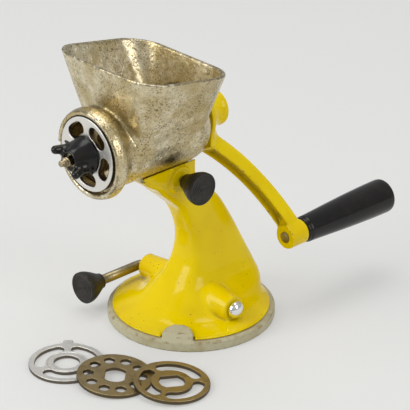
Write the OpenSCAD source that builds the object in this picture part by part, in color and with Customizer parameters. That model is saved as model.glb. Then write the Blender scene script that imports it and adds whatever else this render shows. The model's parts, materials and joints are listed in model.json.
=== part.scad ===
// Hand-cranked meat mincer on a suction base, with three spare cutters beside it.
// Millimetres. The origin is the middle of the pad on the table, +Z is up.
// The barrel lies along X: the outlet faces -X and the crank is at +X.

/* [Suction base] */
// Outer diameter of the rubber pad
pad_d = 115; // [110:1:122]
// Height of the pad's rim, which the stand sits on
pad_h = 7; // [6:0.5:9]
// Thickness of the pad's middle
pad_web = 3; // [2:0.1:4]
// Set-back of the stand's flange from the pad's edge
flange_margin = 3.5; // [3:0.1:6]
// Width of the pad's pull tab
tab_w = 21; // [16:1:26]
// Reach of the pull tab inwards over the stand's skirt
tab_reach = 8; // [5:0.5:10]
// Thickness of the pull tab
tab_t = 2; // [1.6:0.1:2.6]
// Direction of the pull tab in plan
tab_angle = 217.5; // [200:0.5:240]

/* [Suction lever] */
// Height of the lever shaft
lever_h = 18.7; // [18:0.1:20]
// Diameter of the lever rod
lever_d = 6.8; // [6:0.1:7]
// Distance from the shaft to the face of the lever's knob
lever_reach = 56; // [48:1:62]
// Distance of each shaft boss's face from the middle
boss_reach = 42.5; // [41:0.5:46]
// Diameter of the shaft bosses at their faces
boss_d = 17; // [14:0.5:19]
// Diameter of the shaft bosses at their roots
boss_root_d = 22; // [17:0.5:24]
// Length of the shaft bosses
boss_l = 22; // [18:0.5:26]
// Bend radius of the lever rod
bend_r = 6.5; // [6:0.1:9]
// Diameter of the domed shaft cap
cap_d = 12; // [10:0.5:14]
// Height of the shaft cap's dome
cap_h = 5.6; // [4.5:0.1:7]
// Diameter of the eccentric cam
cam_d = 14; // [12:0.5:15]
// Width of the eccentric cam
cam_w = 9; // [6:0.5:12]
// Distance of the cam's centre from the shaft
cam_throw = 1.5; // [1:0.1:1.8]
// Diameter of the pull plate on the pad
plate_d = 40; // [30:1:50]
// Thickness of the pull plate
plate_t = 2; // [1.5:0.1:3]
// Thickness of the yoke round the cam
yoke_t = 2.5; // [2:0.1:3]
// Diameter of the post between the plate and the yoke
post_d = 10; // [6:0.5:12]

/* [Knobs] */
// Diameter of a knob's face
knob_d = 22.6; // [18:0.2:26]
// Diameter of a knob's neck
knob_neck_d = 12.4; // [11:0.2:14]
// Length of a knob
knob_l = 19.4; // [16:0.2:24]
// Depth of a knob's hole
knob_hole = 11; // [8:0.5:13]

/* [Stand] */
// Width of the neck at its waist
waist_w = 24; // [22:0.5:28]
// Width across the saddle's cheeks
saddle_w = 29; // [28:0.5:33]
// Reach of the saddle to the front
saddle_front = 57; // [54:1:62]
// Set-back of the saddle's rear face
saddle_back = 6; // [5:0.5:9]
// Drop from the barrel axis to the top of the saddle
saddle_drop = 23; // [22.4:0.1:25]
// Depth of the saddle's seat below its top
seat_depth = 6; // [4.5:0.1:7]
// Set-back of the clamp screw from the middle of the base
clamp_x = 24; // [22:0.5:26]
// Height of the clamp screw above the tongue's underside
clamp_rise = 6; // [5:0.1:7]
// Diameter of the clamp screw
clamp_d = 6; // [5:0.1:6.5]
// Diameter of the clamp screw's boss
clamp_boss_d = 18; // [14:0.5:18]
// Length of the clamp screw's boss
clamp_boss_l = 3.6; // [2:0.1:5]

/* [Barrel] */
// Height of the barrel axis above the table
axis_h = 147; // [143:0.5:152]
// Outer diameter of the barrel
barrel_d = 54; // [53.5:0.1:56]
// Wall of the barrel
barrel_wall = 3.5; // [3:0.1:4]
// Diameter of the outlet's lip
lip_d = 59.6; // [58.6:0.2:62]
// Reach of the lip's face to the front
outlet_x = 90; // [88:0.5:94]
// Set-back of the barrel's rear face
rear_x = 1; // [0.5:0.1:1.4]
// Thickness of the barrel's rear wall
rear_wall = 8; // [6:0.5:10]
// Width of the foot that sits in the saddle
foot_w = 22; // [18:0.5:22.4]
// Reach of the foot to the front
foot_front = 53; // [50:0.5:56]
// Width of the tongue under the foot
tongue_w = 16; // [12:0.5:17]
// Length of the tongue
tongue_l = 21; // [16:0.5:22]
// Depth of the tongue
tongue_h = 10; // [9:0.5:10]

/* [Hopper] */
// Reach of the hopper's front crease at the rim
hopper_front = 84.5; // [80:0.5:88]
// Reach of the hopper's front corners at the rim
hopper_corner = 76; // [72:0.5:79]
// Set-back of the hopper's rear wall at the rim
hopper_back = 0.7; // [0:0.1:4]
// Width of the hopper at the rim
hopper_w = 96; // [88:1:104]
// Rise of the rim's middle above the barrel axis
rim_rise = 51.4; // [46:0.2:58]
// Slope of the rim from front to rear
rim_slope = 0.18; // [0.1:0.01:0.22]
// Radius of the rim's front corners
front_corner_r = 11; // [7:0.5:14]
// Radius of the rim's rear corners
rear_corner_r = 18; // [12:0.5:22]
// Wall of the hopper
hopper_wall = 3; // [2.4:0.1:4]
// Reach of the hopper's front wall at the barrel
throat_front = 71; // [68:0.5:73]
// Set-back of the hopper's rear wall at the barrel
throat_back = 12; // [11:0.5:16]
// Depth of the front crease at the barrel
throat_crease = 1.5; // [1:0.1:3]
// Radius of the corners at the barrel
throat_r = 6; // [4:0.5:8]
// Radius of the front crease
crease_r = 12; // [6:0.5:14]

/* [Cutters] */
// Diameter of a cutter
cutter_d = 50.4; // [49:0.2:51.2]
// Thickness of a cutter
cutter_t = 2.6; // [2:0.1:3]
// Diameter of the ring on which the slots and holes lie
slot_ring_d = 35; // [33:0.5:36]
// Width of a kidney slot
slot_w = 8; // [6:0.5:9]
// Angle between a kidney slot's end centres
slot_sweep = 24; // [14:1:30]
// Number of kidney slots in the fitted plate
slot_count = 5; // [4:1:5]
// Width of the long slots in the tabbed and coarse cutters
long_slot_w = 7.6; // [6:0.2:9]
// Angle between a long slot's end centres
long_sweep = 84; // [60:1:90]
// Diameter of the worm's nose in the cutters
nose_d = 17; // [15:0.2:18]
// Width across the flats of the nose
nose_flat = 13; // [11:0.2:13.6]
// Width of the fixed cutter's tab
cutter_tab_w = 6.6; // [5:0.2:8]
// Turn of the tab from the side of the barrel
cutter_tab_turn = -8; // [-15:1:15]

/* [Feed worm] */
// Gap between the worm's flight and the barrel
worm_gap = 0.6; // [0.4:0.1:1.2]
// Lead of the flight
worm_lead = 24; // [20:0.5:30]
// Diameter of the worm's core at the front
core_front_d = 26; // [22:0.5:30]
// Diameter of the worm's core at the rear
core_rear_d = 22; // [20:0.5:26]
// Thickness of the flight at its root
flight_root_t = 6; // [4:0.2:7]
// Thickness of the flight at its tip
flight_tip_t = 3; // [2:0.2:4]
// Diameter of the rear journal and the crank's shank
journal_d = 16; // [14:0.2:17]
// Width across the flats of the crank's shank
shank_flat = 12; // [10:0.2:13]
// Thickness of the thrust washer
thrust_t = 1.2; // [0.8:0.1:2]
// Diameter of the threaded stud
stud_d = 6.6; // [6:0.1:7]
// Reach of the stud's tip beyond the cutters
stud_reach = 21.8; // [19:0.2:25]
// Depth of the stud in the worm
stud_depth = 16; // [12:0.5:20]

/* [Wing nut] */
// Diameter of the wing nut's foot
nut_d = 26; // [22:0.5:28]
// Diameter of the wing nut's nose
nut_nose_d = 14; // [13:0.5:17]
// Length of the wing nut's body
nut_l = 14.5; // [12:0.5:16]
// Diameter of the threaded insert
insert_d = 10.4; // [9:0.2:11]
// Length of the wing nut's ears
ear_l = 12; // [8:0.5:14]
// Thickness of the ears
ear_t = 5; // [4:0.2:6]
// Turn of the ears about the axis
ear_turn = 27; // [0:1:90]

/* [Crank] */
// Distance from the axis to the grip
crank_r = 100.1; // [90:0.1:102]
// Turn of the crank from straight down
crank_angle = 25.5; // [0:0.5:90]
// Set-back of the end boss's front face
crank_back = 47.1; // [46:0.1:52]
// Set-back of the hub's front face
hub_x = 2.3; // [1.8:0.1:4]
// Depth of the arm
arm_t = 9.2; // [8:0.2:11]
// Width of the arm at the hub
arm_hub_w = 15; // [13:0.2:18]
// Width of the arm at the grip
arm_end_w = 12.4; // [11:0.2:14]
// Set-back of the arm's bow
bow_x = 40.4; // [37:0.1:44]
// Distance of the arm's bow from the axis
bow_r = 46.4; // [42:0.1:50]
// Depth of the channel in the arm's inner side
channel_depth = 4.6; // [2:0.2:5.4]
// Width of the rims beside the channel
channel_rim = 1.8; // [1.2:0.1:2.4]
// Diameter of the hub's foot
hub_d = 38; // [34:0.5:40]
// Diameter of the hub's waist
hub_waist_d = 24; // [22:0.5:28]
// Set-back of the hub's rear face
hub_rear = 23.4; // [21:0.2:27]
// Diameter of the boss at the grip
end_boss_d = 17; // [15:0.5:19]
// Length of the boss at the grip
end_boss_l = 15; // [12:0.5:18]
// Diameter of the crank screw
crank_screw_d = 6; // [5:0.1:6.4]
// Depth of the crank screw in the shank
screw_depth = 12; // [8:0.5:16]
// Thickness of the crank washer
washer_t = 1.2; // [0.8:0.1:2]

/* [Grip] */
// Length of the grip
grip_l = 83; // [70:1:95]
// Diameter of the grip at the arm
grip_d = 20.4; // [18:0.2:22]
// Largest diameter of the grip
grip_end_d = 27; // [24:0.5:30]
// Diameter of the spindle
spindle_d = 8; // [6:0.2:9]
// Thickness of the spindle's head
spindle_head_t = 2.6; // [2:0.1:4]
// Depth of the recess for the spindle's head
grip_recess = 6; // [5:0.5:8]

/* [Spare cutters] */
// Place of the spare fixed cutter, forwards
spare_x = -110.4; // [-125:0.1:-108]
// Place of the spare fixed cutter, sideways
spare_y = 1.2; // [-5:0.1:6]
// Distance between neighbouring spares
spare_pitch = 38; // [34:0.5:44]
// Direction from the first spare to the second
spare_dir = -74; // [-85:1:-60]
// Direction from the second spare to the third
spare_dir_next = -56; // [-70:1:-45]
// Direction of the spare fixed cutter's tab
spare_tab_dir = 48; // [0:1:90]
// Turn of the spare coarse plate's slots
spare_slot_turn = 25; // [0:1:60]
// Number of holes in the spare medium plate
hole_count = 10; // [8:1:10]
// Diameter of the holes in the spare medium plate
hole_d = 7; // [5:0.5:8]

/* [Hidden] */
$fn = 64;

// Clearances
fit_gap = 0.02;      // a pressed or screwed fit, on the radius
run_gap = 0.06;      // a running fit, on the radius
slip_gap = 0.2;      // a sliding seat, on each side
face_gap = 0.3;      // between faces that turn past one another
seat_gap = 2;        // round a cap in its seat
tab_gap = 0.8;       // on each side of the pull tab in its notch
knob_gap = 0.6;      // between the clamp knob and its boss
yoke_gap = 0.4;      // between the cam and its yoke
cutter_gap = 0.8;    // round the cutters in the outlet
lay_gap = 0.15;      // between cutters that lie on one another
over = 1;            // how far a cut runs past a face

// Sizes that follow from the ones above
pad_r = pad_d / 2;
flange_r = pad_r - flange_margin;
barrel_r = barrel_d / 2;
bore_r = barrel_r - barrel_wall;
cutter_r = cutter_d / 2;
saddle_z = axis_h - saddle_drop;
seat_z = saddle_z - seat_depth;
tongue_z = seat_z - tongue_h;
tongue_front = clamp_x + tongue_l / 2;
tongue_back = clamp_x - tongue_l / 2;
clamp_z = tongue_z + clamp_rise;
clamp_face = saddle_w / 2 + clamp_boss_l;
stack_t = 2 * cutter_t + slip_gap;
seat_x = outlet_x - stack_t;
recess_r = cutter_r + cutter_gap;
plate_face = outlet_x - slip_gap / 2;
nose_x = plate_face - 0.4;
worm_front = seat_x - face_gap;
worm_rear = rear_x + rear_wall + thrust_t;
lever_y = boss_reach + face_gap + bend_r;
grip_x = crank_back + end_boss_l + face_gap;
spare_next = [spare_x, spare_y] + spare_pitch * [cos(spare_dir), sin(spare_dir)];
spare_last = spare_next + spare_pitch * [cos(spare_dir_next), sin(spare_dir_next)];

// Colours
paint = "#e8cf10";
tinned = "#b7aa86";
polished = "#c9c9c6";
steel = "#9b9890";
stained = "#8c7d5a";
black = "#1d1c1b";
rubber = "#b3ae9b";
chrome = "#dcdcdc";

// A point on the way from one value to another
function mix(a, b, t) = a + (b - a) * t;

function unit(v) = v / norm(v);

// Smooth curve through the rows of a table, read from one column at a value of the first
function row_at(rows, v, i = 0) =
    i + 2 >= len(rows) || v < rows[i + 1][0] ? i : row_at(rows, v, i + 1);
function row_slope(rows, i, c) =
    let (a = max(i - 1, 0), b = min(i + 1, len(rows) - 1))
    (rows[b][c] - rows[a][c]) / (rows[b][0] - rows[a][0]);
function flow(rows, v, c) =
    let (i = row_at(rows, v),
         h = rows[i + 1][0] - rows[i][0],
         t = (v - rows[i][0]) / h,
         m0 = row_slope(rows, i, c) * h,
         m1 = row_slope(rows, i + 1, c) * h)
    (2 * t ^ 3 - 3 * t ^ 2 + 1) * rows[i][c] + (t ^ 3 - 2 * t ^ 2 + t) * m0
    + (3 * t ^ 2 - 2 * t ^ 3) * rows[i + 1][c] + (t ^ 3 - t ^ 2) * m1;

// Solid through rings of equally many points, from the lowest ring to the highest
module loft(rings) {
    n = len(rings[0]);
    m = len(rings);
    sides = [for (k = [0 : m - 2], i = [0 : n - 1])
        let (j = (i + 1) % n)
        each [[k * n + i, (k + 1) * n + i, (k + 1) * n + j],
              [k * n + i, (k + 1) * n + j, k * n + j]]];
    bottom = [for (i = [0 : n - 1]) i];
    top = [for (i = [n - 1 : -1 : 0]) (m - 1) * n + i];
    polyhedron([for (r = rings) each r], concat([bottom], sides, [top]));
}

// Places a shape made along Z on a line along X, with Z turned to +X
module along_x(x, y, z) {
    translate([x, y, z]) rotate([0, 90, 0]) children();
}

// Places a shape made along Z on a line along -X
module along_minus_x(x, y, z) {
    translate([x, y, z]) rotate([0, -90, 0]) children();
}

// Cylinder with two flats, along Z
module double_d(d, flat, h) {
    intersection() {
        cylinder(d = d, h = h);
        translate([-flat / 2, -d, 0]) cube([flat, 2 * d, h]);
    }
}

// Knob with a narrow neck and a wide face, along Z from its neck, with a blind hole for its rod
module knob(rod_d, rod_depth) {
    r0 = knob_neck_d / 2;
    r1 = knob_d / 2;
    difference() {
        rotate_extrude() polygon([[0, 0], [r0 - 0.6, 0], [r0, 0.6], [r0, knob_l * 0.1],
            [mix(r0, r1, 0.26), knob_l * 0.26], [mix(r0, r1, 0.62), knob_l * 0.47],
            [mix(r0, r1, 0.88), knob_l * 0.68], [r1, knob_l * 0.83], [r1, knob_l - 0.9],
            [r1 - 0.9, knob_l], [0, knob_l]]);
        translate([0, 0, -over]) cylinder(d = rod_d + 2 * fit_gap, h = rod_depth + over);
    }
}

// Suction pad
module suction_pad() {
    color(rubber) {
        rotate_extrude($fn = 96) polygon([[0, 0], [pad_r, 0], [pad_r, pad_h - 2.2],
            [pad_r - 1.4, pad_h], [flange_r - 5, pad_h], [flange_r - 8, pad_web], [0, pad_web]]);
        pull_tab();
    }
}

// Pull tab: it rises through a notch in the flange and lies in over the skirt
tab_foot_r = flange_r - 2.4;
tab_end_r = tab_foot_r - tab_reach;
function tab_z(r) = pad_h + 2.4 + (tab_foot_r - r) * 0.3;
module pull_tab() {
    rotate([0, 0, tab_angle]) intersection() {
        rotate_extrude($fn = 96) polygon([[tab_foot_r, pad_h - over], [pad_r - 0.6, pad_h - over],
            [tab_foot_r + tab_t * 1.6, pad_h + 2.2], [tab_foot_r + 1, tab_z(tab_foot_r) + tab_t],
            [tab_end_r, tab_z(tab_end_r) + tab_t], [tab_end_r, tab_z(tab_end_r)],
            [tab_foot_r, tab_z(tab_foot_r)]]);
        linear_extrude(pad_d) tab_outline();
    }
}

// Plan of the pull tab, with a round inner end
module tab_outline() {
    r = tab_w / 2;
    polygon([[pad_r, -r], [pad_r, r],
        for (a = [90 : 10 : 270]) [tab_end_r + r * 0.9 * (1 + cos(a)), r * sin(a)]]);
}

// Stand: height, reach to the front, reach to the rear, half width and squareness of its sections
function rise(f) = mix(pad_h, saddle_z, f);
waist_r = waist_w / 2;
saddle_r = saddle_w / 2;
stand_rows = [
    [pad_h, flange_r, flange_r, flange_r, 2],
    [pad_h + 1.6, flange_r - 0.2, flange_r - 0.2, flange_r - 0.2, 2],
    [pad_h + 3.4, flange_r - 7.5, flange_r - 1, flange_r - 7, 2],
    [pad_h + 5.5, flange_r - 14, flange_r - 1.4, flange_r - 13.5, 2.1],
    [pad_h + 8.5, flange_r - 19.4, flange_r - 1.5, flange_r - 19, 2.3],
    [pad_h + 12, flange_r - 24, flange_r - 1.6, flange_r - 23.5, 2.6],
    [pad_h + 16, flange_r - 28.8, flange_r - 2.4, flange_r - 28.5, 3],
    [pad_h + 21, flange_r - 34, flange_r - 4.6, flange_r - 33.5, 3.6],
    [rise(0.231), 15.6, 46.9, waist_r + 5, 4],
    [rise(0.299), 10.4, 42.7, waist_r + 3, 4.4],
    [rise(0.402), 7.5, 36.7, waist_r + 1, 4.8],
    [rise(0.516), 8.4, 29.6, waist_r, 5],
    [rise(0.658), 15.2, 19.4, waist_r, 5],
    [rise(0.7385), 24.1, 11.4, mix(waist_r, saddle_r, 0.2), 5],
    [rise(0.795), 31.5, 3.8, mix(waist_r, saddle_r, 0.5), 5],
    [rise(0.858), saddle_front - 16.2, -saddle_back + 3, mix(waist_r, saddle_r, 0.8), 5.5],
    [rise(0.915), saddle_front - 7, -saddle_back, saddle_r, 6.5],
    [rise(1), saddle_front, -saddle_back, saddle_r, 8]];
skirt_levels = [0, 1.6, 2.4, 3.4, 4.4, 5.5, 7, 8.5, 10.2, 12, 14, 16, 18.5, 21];
neck_levels = [0.204, 0.231, 0.265, 0.299, 0.35, 0.402, 0.459, 0.516, 0.587, 0.658, 0.7, 0.7385, 0.767,
    0.795, 0.827, 0.858, 0.887, 0.915, 0.958, 1];
stand_heights = [for (h = skirt_levels) pad_h + h, for (f = neck_levels) rise(f)];

function signed_power(v, p) = sign(v) * abs(v) ^ p;
function stand_ring(z) =
    let (front = flow(stand_rows, z, 1),
         back = flow(stand_rows, z, 2),
         half = flow(stand_rows, z, 3),
         power = 2 / flow(stand_rows, z, 4))
    [for (a = [0 : 7.5 : 352.5])
        [(back - front) / 2 + (back + front) / 2 * signed_power(cos(a), power),
         half * signed_power(sin(a), power), z]];

// Hollow of the skirt, with room for the yoke at the top of its lift
yoke_r = cam_d / 2 + cam_throw + yoke_gap + yoke_t;
hollow_r = yoke_r + seat_gap;
hollow_top = lever_h + cam_throw + cam_d / 2 + yoke_gap + yoke_t + seat_gap;
module stand_hollow() {
    rotate_extrude($fn = 96) polygon([[0, pad_h - over], [flange_r - 8, pad_h - over],
        [flange_r - 8, pad_h + 0.4], [flange_r - 15, pad_h + 2.6], [flange_r - 21, pad_h + 5.4],
        [max(flange_r - 26, hollow_r), pad_h + 8.6], [max(flange_r - 31.4, hollow_r), pad_h + 12.6],
        [max(flange_r - 37, hollow_r), pad_h + 17.5], [hollow_r, hollow_top - seat_gap],
        [hollow_r - 4, hollow_top], [0, hollow_top]]);
}

// Bosses for the lever shaft, on both sides of the skirt
module shaft_bosses() {
    for (side = [0, 180]) {
        translate([0, 0, lever_h]) rotate([90, 0, side]) translate([0, 0, boss_reach - boss_l])
            cylinder(d1 = boss_root_d, d2 = boss_d, h = boss_l);
    }
}

// Flat seats on the bosses, cut back into the skirt
module shaft_seats() {
    for (side = [-1, 1]) {
        translate([0, side * (boss_reach + pad_r), lever_h]) rotate([90, 0, 0])
            cylinder(d = cap_d + 2 * seat_gap, h = pad_d, center = true);
    }
}

module stand() {
    color(paint) difference() {
        union() {
            difference() {
                loft([for (z = stand_heights) stand_ring(z)]);
                stand_hollow();
            }
            shaft_bosses();
            translate([-clamp_x, -saddle_r + over, clamp_z]) rotate([90, 0, 0])
                cylinder(d = clamp_boss_d, h = clamp_boss_l + over);
        }
        translate([0, 0, lever_h]) rotate([90, 0, 0])
            cylinder(d = lever_d + 2 * run_gap, h = 2 * pad_d, center = true);
        translate([-clamp_x, 0, clamp_z]) rotate([90, 0, 0])
            cylinder(d = clamp_d + 2 * run_gap, h = pad_d);
        shaft_seats();
        saddle_slot();
        along_x(-outlet_x, 0, axis_h) cylinder(r = barrel_r + face_gap, h = outlet_x, $fn = 96);
        tab_notch();
    }
}

module saddle_slot() {
    w = foot_w + 2 * slip_gap;
    deep_w = tongue_w + 2 * slip_gap;
    translate([-saddle_front - foot_front, -w / 2, seat_z])
        cube([saddle_front + foot_front - tongue_back + slip_gap, w, saddle_drop]);
    translate([-tongue_front - slip_gap, -deep_w / 2, tongue_z - slip_gap])
        cube([tongue_l + 2 * slip_gap, deep_w, saddle_drop]);
}

// Notch in the flange for the pull tab
module tab_notch() {
    w = tab_w + 2 * tab_gap;
    rotate([0, 0, tab_angle]) difference() {
        translate([0, -w / 2, pad_h - over]) cube([pad_d, w, lever_h]);
        cylinder(r = tab_foot_r - face_gap, h = 2 * lever_h, $fn = 96);
    }
}

// Plate on the pad, with the yoke that the cam lifts
module pull_yoke() {
    cam_z = lever_h - cam_throw;
    inner_w = cam_d + 2 * cam_throw + 2 * yoke_gap;
    inner_h = cam_d + 2 * yoke_gap;
    depth = cam_w - 2;
    color(steel) {
        translate([0, 0, pad_web]) cylinder(d = plate_d, h = plate_t);
        translate([0, 0, pad_web]) cylinder(d = post_d, h = cam_z - inner_h / 2 - pad_web - yoke_t / 2);
        difference() {
            translate([-inner_w / 2 - yoke_t, -depth / 2, cam_z - inner_h / 2 - yoke_t])
                cube([inner_w + 2 * yoke_t, depth, inner_h + 2 * yoke_t]);
            translate([-inner_w / 2, -depth, cam_z - inner_h / 2]) cube([inner_w, 2 * depth, inner_h]);
        }
    }
}

module eccentric_cam() {
    color(steel) translate([0, 0, lever_h]) rotate([90, 0, 0]) difference() {
        translate([0, -cam_throw, 0]) cylinder(d = cam_d, h = cam_w, center = true);
        cylinder(d = lever_d + 2 * fit_gap, h = 2 * cam_w, center = true);
    }
}

// Lever rod: the shaft across the base, bent forwards outside the boss
module lever_shaft() {
    cap_y = boss_reach + face_gap + cap_h * 0.6;
    rod_end = lever_reach - knob_l + knob_hole;
    color(steel) translate([0, 0, lever_h]) {
        translate([0, lever_y - bend_r, 0]) rotate([90, 0, 0])
            cylinder(d = lever_d, h = lever_y - bend_r + cap_y);
        translate([-bend_r, lever_y - bend_r, 0]) rotate_extrude(angle = 90)
            translate([bend_r, 0]) circle(d = lever_d, $fn = 48);
        translate([-rod_end, lever_y, 0]) rotate([0, 90, 0])
            cylinder(d = lever_d, h = rod_end - bend_r);
    }
}

module lever_knob() {
    color(black) along_minus_x(knob_l - lever_reach, lever_y, lever_h) knob(lever_d, knob_hole);
}

module shaft_cap() {
    r = cap_d / 2;
    color(chrome) translate([0, -boss_reach - face_gap, lever_h]) rotate([90, 0, 0]) difference() {
        rotate_extrude() polygon([[0, 0], [r, 0], [r, cap_h * 0.28],
            for (a = [15 : 15 : 75]) [r * cos(a), cap_h * (0.28 + 0.72 * sin(a))], [0, cap_h]]);
        translate([0, 0, -over]) cylinder(d = lever_d + 2 * fit_gap, h = cap_h * 0.6 + over);
    }
}

// Thumbscrew that holds the barrel's tongue in the saddle
clamp_knob_y = clamp_face + knob_gap;
module clamp_screw() {
    tip = tongue_w / 2 + face_gap;
    color(steel) translate([-clamp_x, -tip, clamp_z]) rotate([90, 0, 0])
        cylinder(d = clamp_d, h = clamp_knob_y + knob_hole - tip);
}

module clamp_knob() {
    color(black) translate([-clamp_x, -clamp_knob_y, clamp_z]) rotate([90, 0, 0])
        knob(clamp_d, knob_hole);
}

// Round corner of an outline, as points on its arc
function corner(p, v, q, r, steps) =
    let (a = unit(p - v),
         b = unit(q - v),
         half = acos(a * b) / 2,
         c = v + unit(a + b) * r / sin(half),
         s = v + a * r / tan(half) - c,
         turn = 180 - 2 * half)
    [for (i = [0 : steps])
        let (w = turn * i / steps) c + [s.x * cos(w) - s.y * sin(w), s.x * sin(w) + s.y * cos(w)]];
function round_outline(pts, radii, steps) =
    let (n = len(pts))
    [for (i = [0 : n - 1]) each
        corner(pts[(i + n - 1) % n], pts[i], pts[(i + 1) % n], radii[i], steps)];

// Hopper section between the throat at 0 and the rim at 1, drawn in by a wall
function hopper_outline(t, wall) =
    let (front = mix(throat_front, hopper_front, t) - wall,
         shoulder = mix(throat_front - throat_crease, hopper_corner, t) - wall,
         back = mix(throat_back, hopper_back, t) + wall,
         half = mix(barrel_r - 0.8, hopper_w / 2, t) - wall,
         front_r = mix(throat_r, front_corner_r, t) - wall / 2,
         rear_r = mix(throat_r, rear_corner_r, t) - wall / 2)
    round_outline([[-back, -half], [-back, half], [-shoulder, half], [-front, 0], [-shoulder, -half]],
        [rear_r, rear_r, front_r, crease_r, front_r], 7);
function rim_z(x) = axis_h + rim_rise - rim_slope * (x + outlet_x / 2);
function hopper_ring(t, wall, low) =
    [for (p = hopper_outline(t, wall)) [p.x, p.y, mix(low, rim_z(p.x), t)]];

module barrel_outer() {
    lip_r = lip_d / 2;
    rear_r = barrel_r - 8.6;
    along_x(0, 0, axis_h) rotate_extrude($fn = 96) polygon([[0, -outlet_x], [lip_r - 0.8, -outlet_x],
        [lip_r, -outlet_x + 0.8], [lip_r, -outlet_x + 4.4], [mix(barrel_r, lip_r, 0.5), -outlet_x + 7.4],
        [barrel_r, -outlet_x + 12], [barrel_r, -rear_x - 12], [barrel_r - 1.4, -rear_x - 6],
        [barrel_r - 4.2, -rear_x - 2], [rear_r, -rear_x], [0, -rear_x]]);
}

module barrel_inner() {
    along_x(0, 0, axis_h) {
        translate([0, 0, -outlet_x - over]) cylinder(r = recess_r, h = stack_t + over, $fn = 96);
        translate([0, 0, -outlet_x]) cylinder(r = bore_r, h = outlet_x - rear_x - rear_wall, $fn = 96);
        translate([0, 0, -outlet_x]) cylinder(d = journal_d + 2 * run_gap, h = 2 * outlet_x);
    }
    notch_w = cutter_tab_w + 2 * slip_gap;
    translate([-outlet_x - over, 0, axis_h]) rotate([cutter_tab_turn, 0, 0])
        translate([0, 0, -notch_w / 2]) cube([stack_t + over, lip_d, notch_w]);
}

module barrel_foot() {
    translate([-foot_front, -foot_w / 2, seat_z])
        cube([foot_front - tongue_back, foot_w, saddle_drop - barrel_wall]);
    translate([-tongue_front, -tongue_w / 2, tongue_z]) cube([tongue_l, tongue_w, tongue_h + over]);
}

module barrel_casting() {
    color(tinned) difference() {
        union() {
            barrel_outer();
            loft([for (t = [0 : 0.25 : 1]) hopper_ring(t, 0, axis_h - 2)]);
            barrel_foot();
        }
        barrel_inner();
        loft([for (t = [0, 0.33, 0.66, 1, 1.12]) hopper_ring(t, hopper_wall, axis_h + 5)]);
    }
}

module thrust_washer() {
    color(stained) along_x(-worm_rear, 0, axis_h) difference() {
        cylinder(d = core_rear_d, h = thrust_t);
        translate([0, 0, -over]) cylinder(d = journal_d + 2 * run_gap, h = thrust_t + 2 * over);
    }
}

// Feed worm: a core with a left-hand flight, the nose in front and the crank's shank behind
shank_end = hub_rear - 5.4;
flight_r = bore_r - worm_gap;
function core_r(x) = mix(core_rear_d, core_front_d, (x - worm_rear) / (worm_front - worm_rear)) / 2;
module flight() {
    start = worm_rear + flight_root_t / 2;
    run = worm_front - start - flight_root_t / 2;
    steps = 22 * ceil(run / worm_lead);
    rings = [for (i = [0 : steps])
        let (x = start + run * i / steps,
             a = 360 * run * i / steps / worm_lead,
             foot = core_r(x) - 1.5)
        [for (p = [[foot, -flight_root_t / 2], [flight_r, -flight_tip_t / 2],
                   [flight_r, flight_tip_t / 2], [foot, flight_root_t / 2]])
            [-x - p[1], p[0] * cos(a), axis_h + p[0] * sin(a)]]];
    loft(rings);
}

// Waste outside two flats on a round bar along Z
module flats(d, flat, h) {
    for (side = [0, 180]) {
        rotate([0, 0, side]) translate([flat / 2, -d, 0]) cube([d, 2 * d, h]);
    }
}

module feed_worm() {
    nose_r = nose_d / 2;
    journal_r = journal_d / 2;
    color(tinned) difference() {
        union() {
            along_x(0, 0, axis_h) rotate_extrude() polygon([[0, -nose_x], [nose_r, -nose_x],
                [nose_r, -worm_front], [core_front_d / 2, -worm_front], [core_rear_d / 2, -worm_rear],
                [journal_r, -worm_rear], [journal_r, shank_end], [0, shank_end]]);
            flight();
        }
        along_minus_x(-seat_x - cutter_t, 0, axis_h) flats(nose_d, nose_flat, cutter_t + over);
        at_crank() along_x(hub_x - over, 0, 0) flats(journal_d, shank_flat, hub_rear);
        along_minus_x(-worm_front + stud_depth, 0, axis_h)
            cylinder(d = stud_d + 2 * fit_gap, h = 2 * stud_depth);
        along_x(shank_end - screw_depth - seat_gap, 0, axis_h)
            cylinder(d = crank_screw_d + 2 * fit_gap, h = 2 * screw_depth);
    }
}

module worm_stud() {
    tip = stud_d * 0.7;
    stud_l = plate_face + stud_reach - worm_front + stud_depth;
    color(stained) along_minus_x(-worm_front + stud_depth, 0, axis_h) rotate_extrude() polygon([[0, 0],
        [stud_d / 2, 0], [stud_d / 2, stud_l - tip], [stud_d * 0.16, stud_l], [0, stud_l]]);
}

// Slot along an arc, cut through a cutter that lies on Z = 0
module arc_slot(ring_d, w, sweep) {
    translate([0, 0, -over]) rotate([0, 0, -sweep / 2]) {
        rotate_extrude(angle = sweep) translate([ring_d / 2 - w / 2, 0]) square([w, cutter_t + 2 * over]);
        for (a = [0, sweep]) rotate([0, 0, a]) translate([ring_d / 2, 0, 0])
            cylinder(d = w - 2 * fit_gap, h = cutter_t + 2 * over, $fn = 32);
    }
}

// Ring with a tab, a round middle and three arc slots, which the barrel's notch keeps from turning
module tabbed_cutter() {
    difference() {
        union() {
            cylinder(r = cutter_r, h = cutter_t, $fn = 96);
            translate([0, -cutter_tab_w / 2, 0])
                cube([lip_d / 2 - 0.4, cutter_tab_w, cutter_t]);
        }
        translate([0, 0, -over]) cylinder(d = nose_d + 2 * run_gap, h = cutter_t + 2 * over);
        for (a = [60 : 120 : 300]) rotate([0, 0, a]) arc_slot(slot_ring_d, long_slot_w, long_sweep);
    }
}

module fixed_cutter() {
    color(polished) along_minus_x(-seat_x, 0, axis_h) rotate([0, 0, 90 - cutter_tab_turn]) tabbed_cutter();
}

// Plate that turns with the worm on its flats
module driven_plate() {
    difference() {
        cylinder(r = cutter_r, h = cutter_t, $fn = 96);
        translate([0, 0, -over])
            double_d(nose_d + 2 * run_gap, nose_flat + 2 * run_gap, cutter_t + 2 * over);
        children();
    }
}

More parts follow.
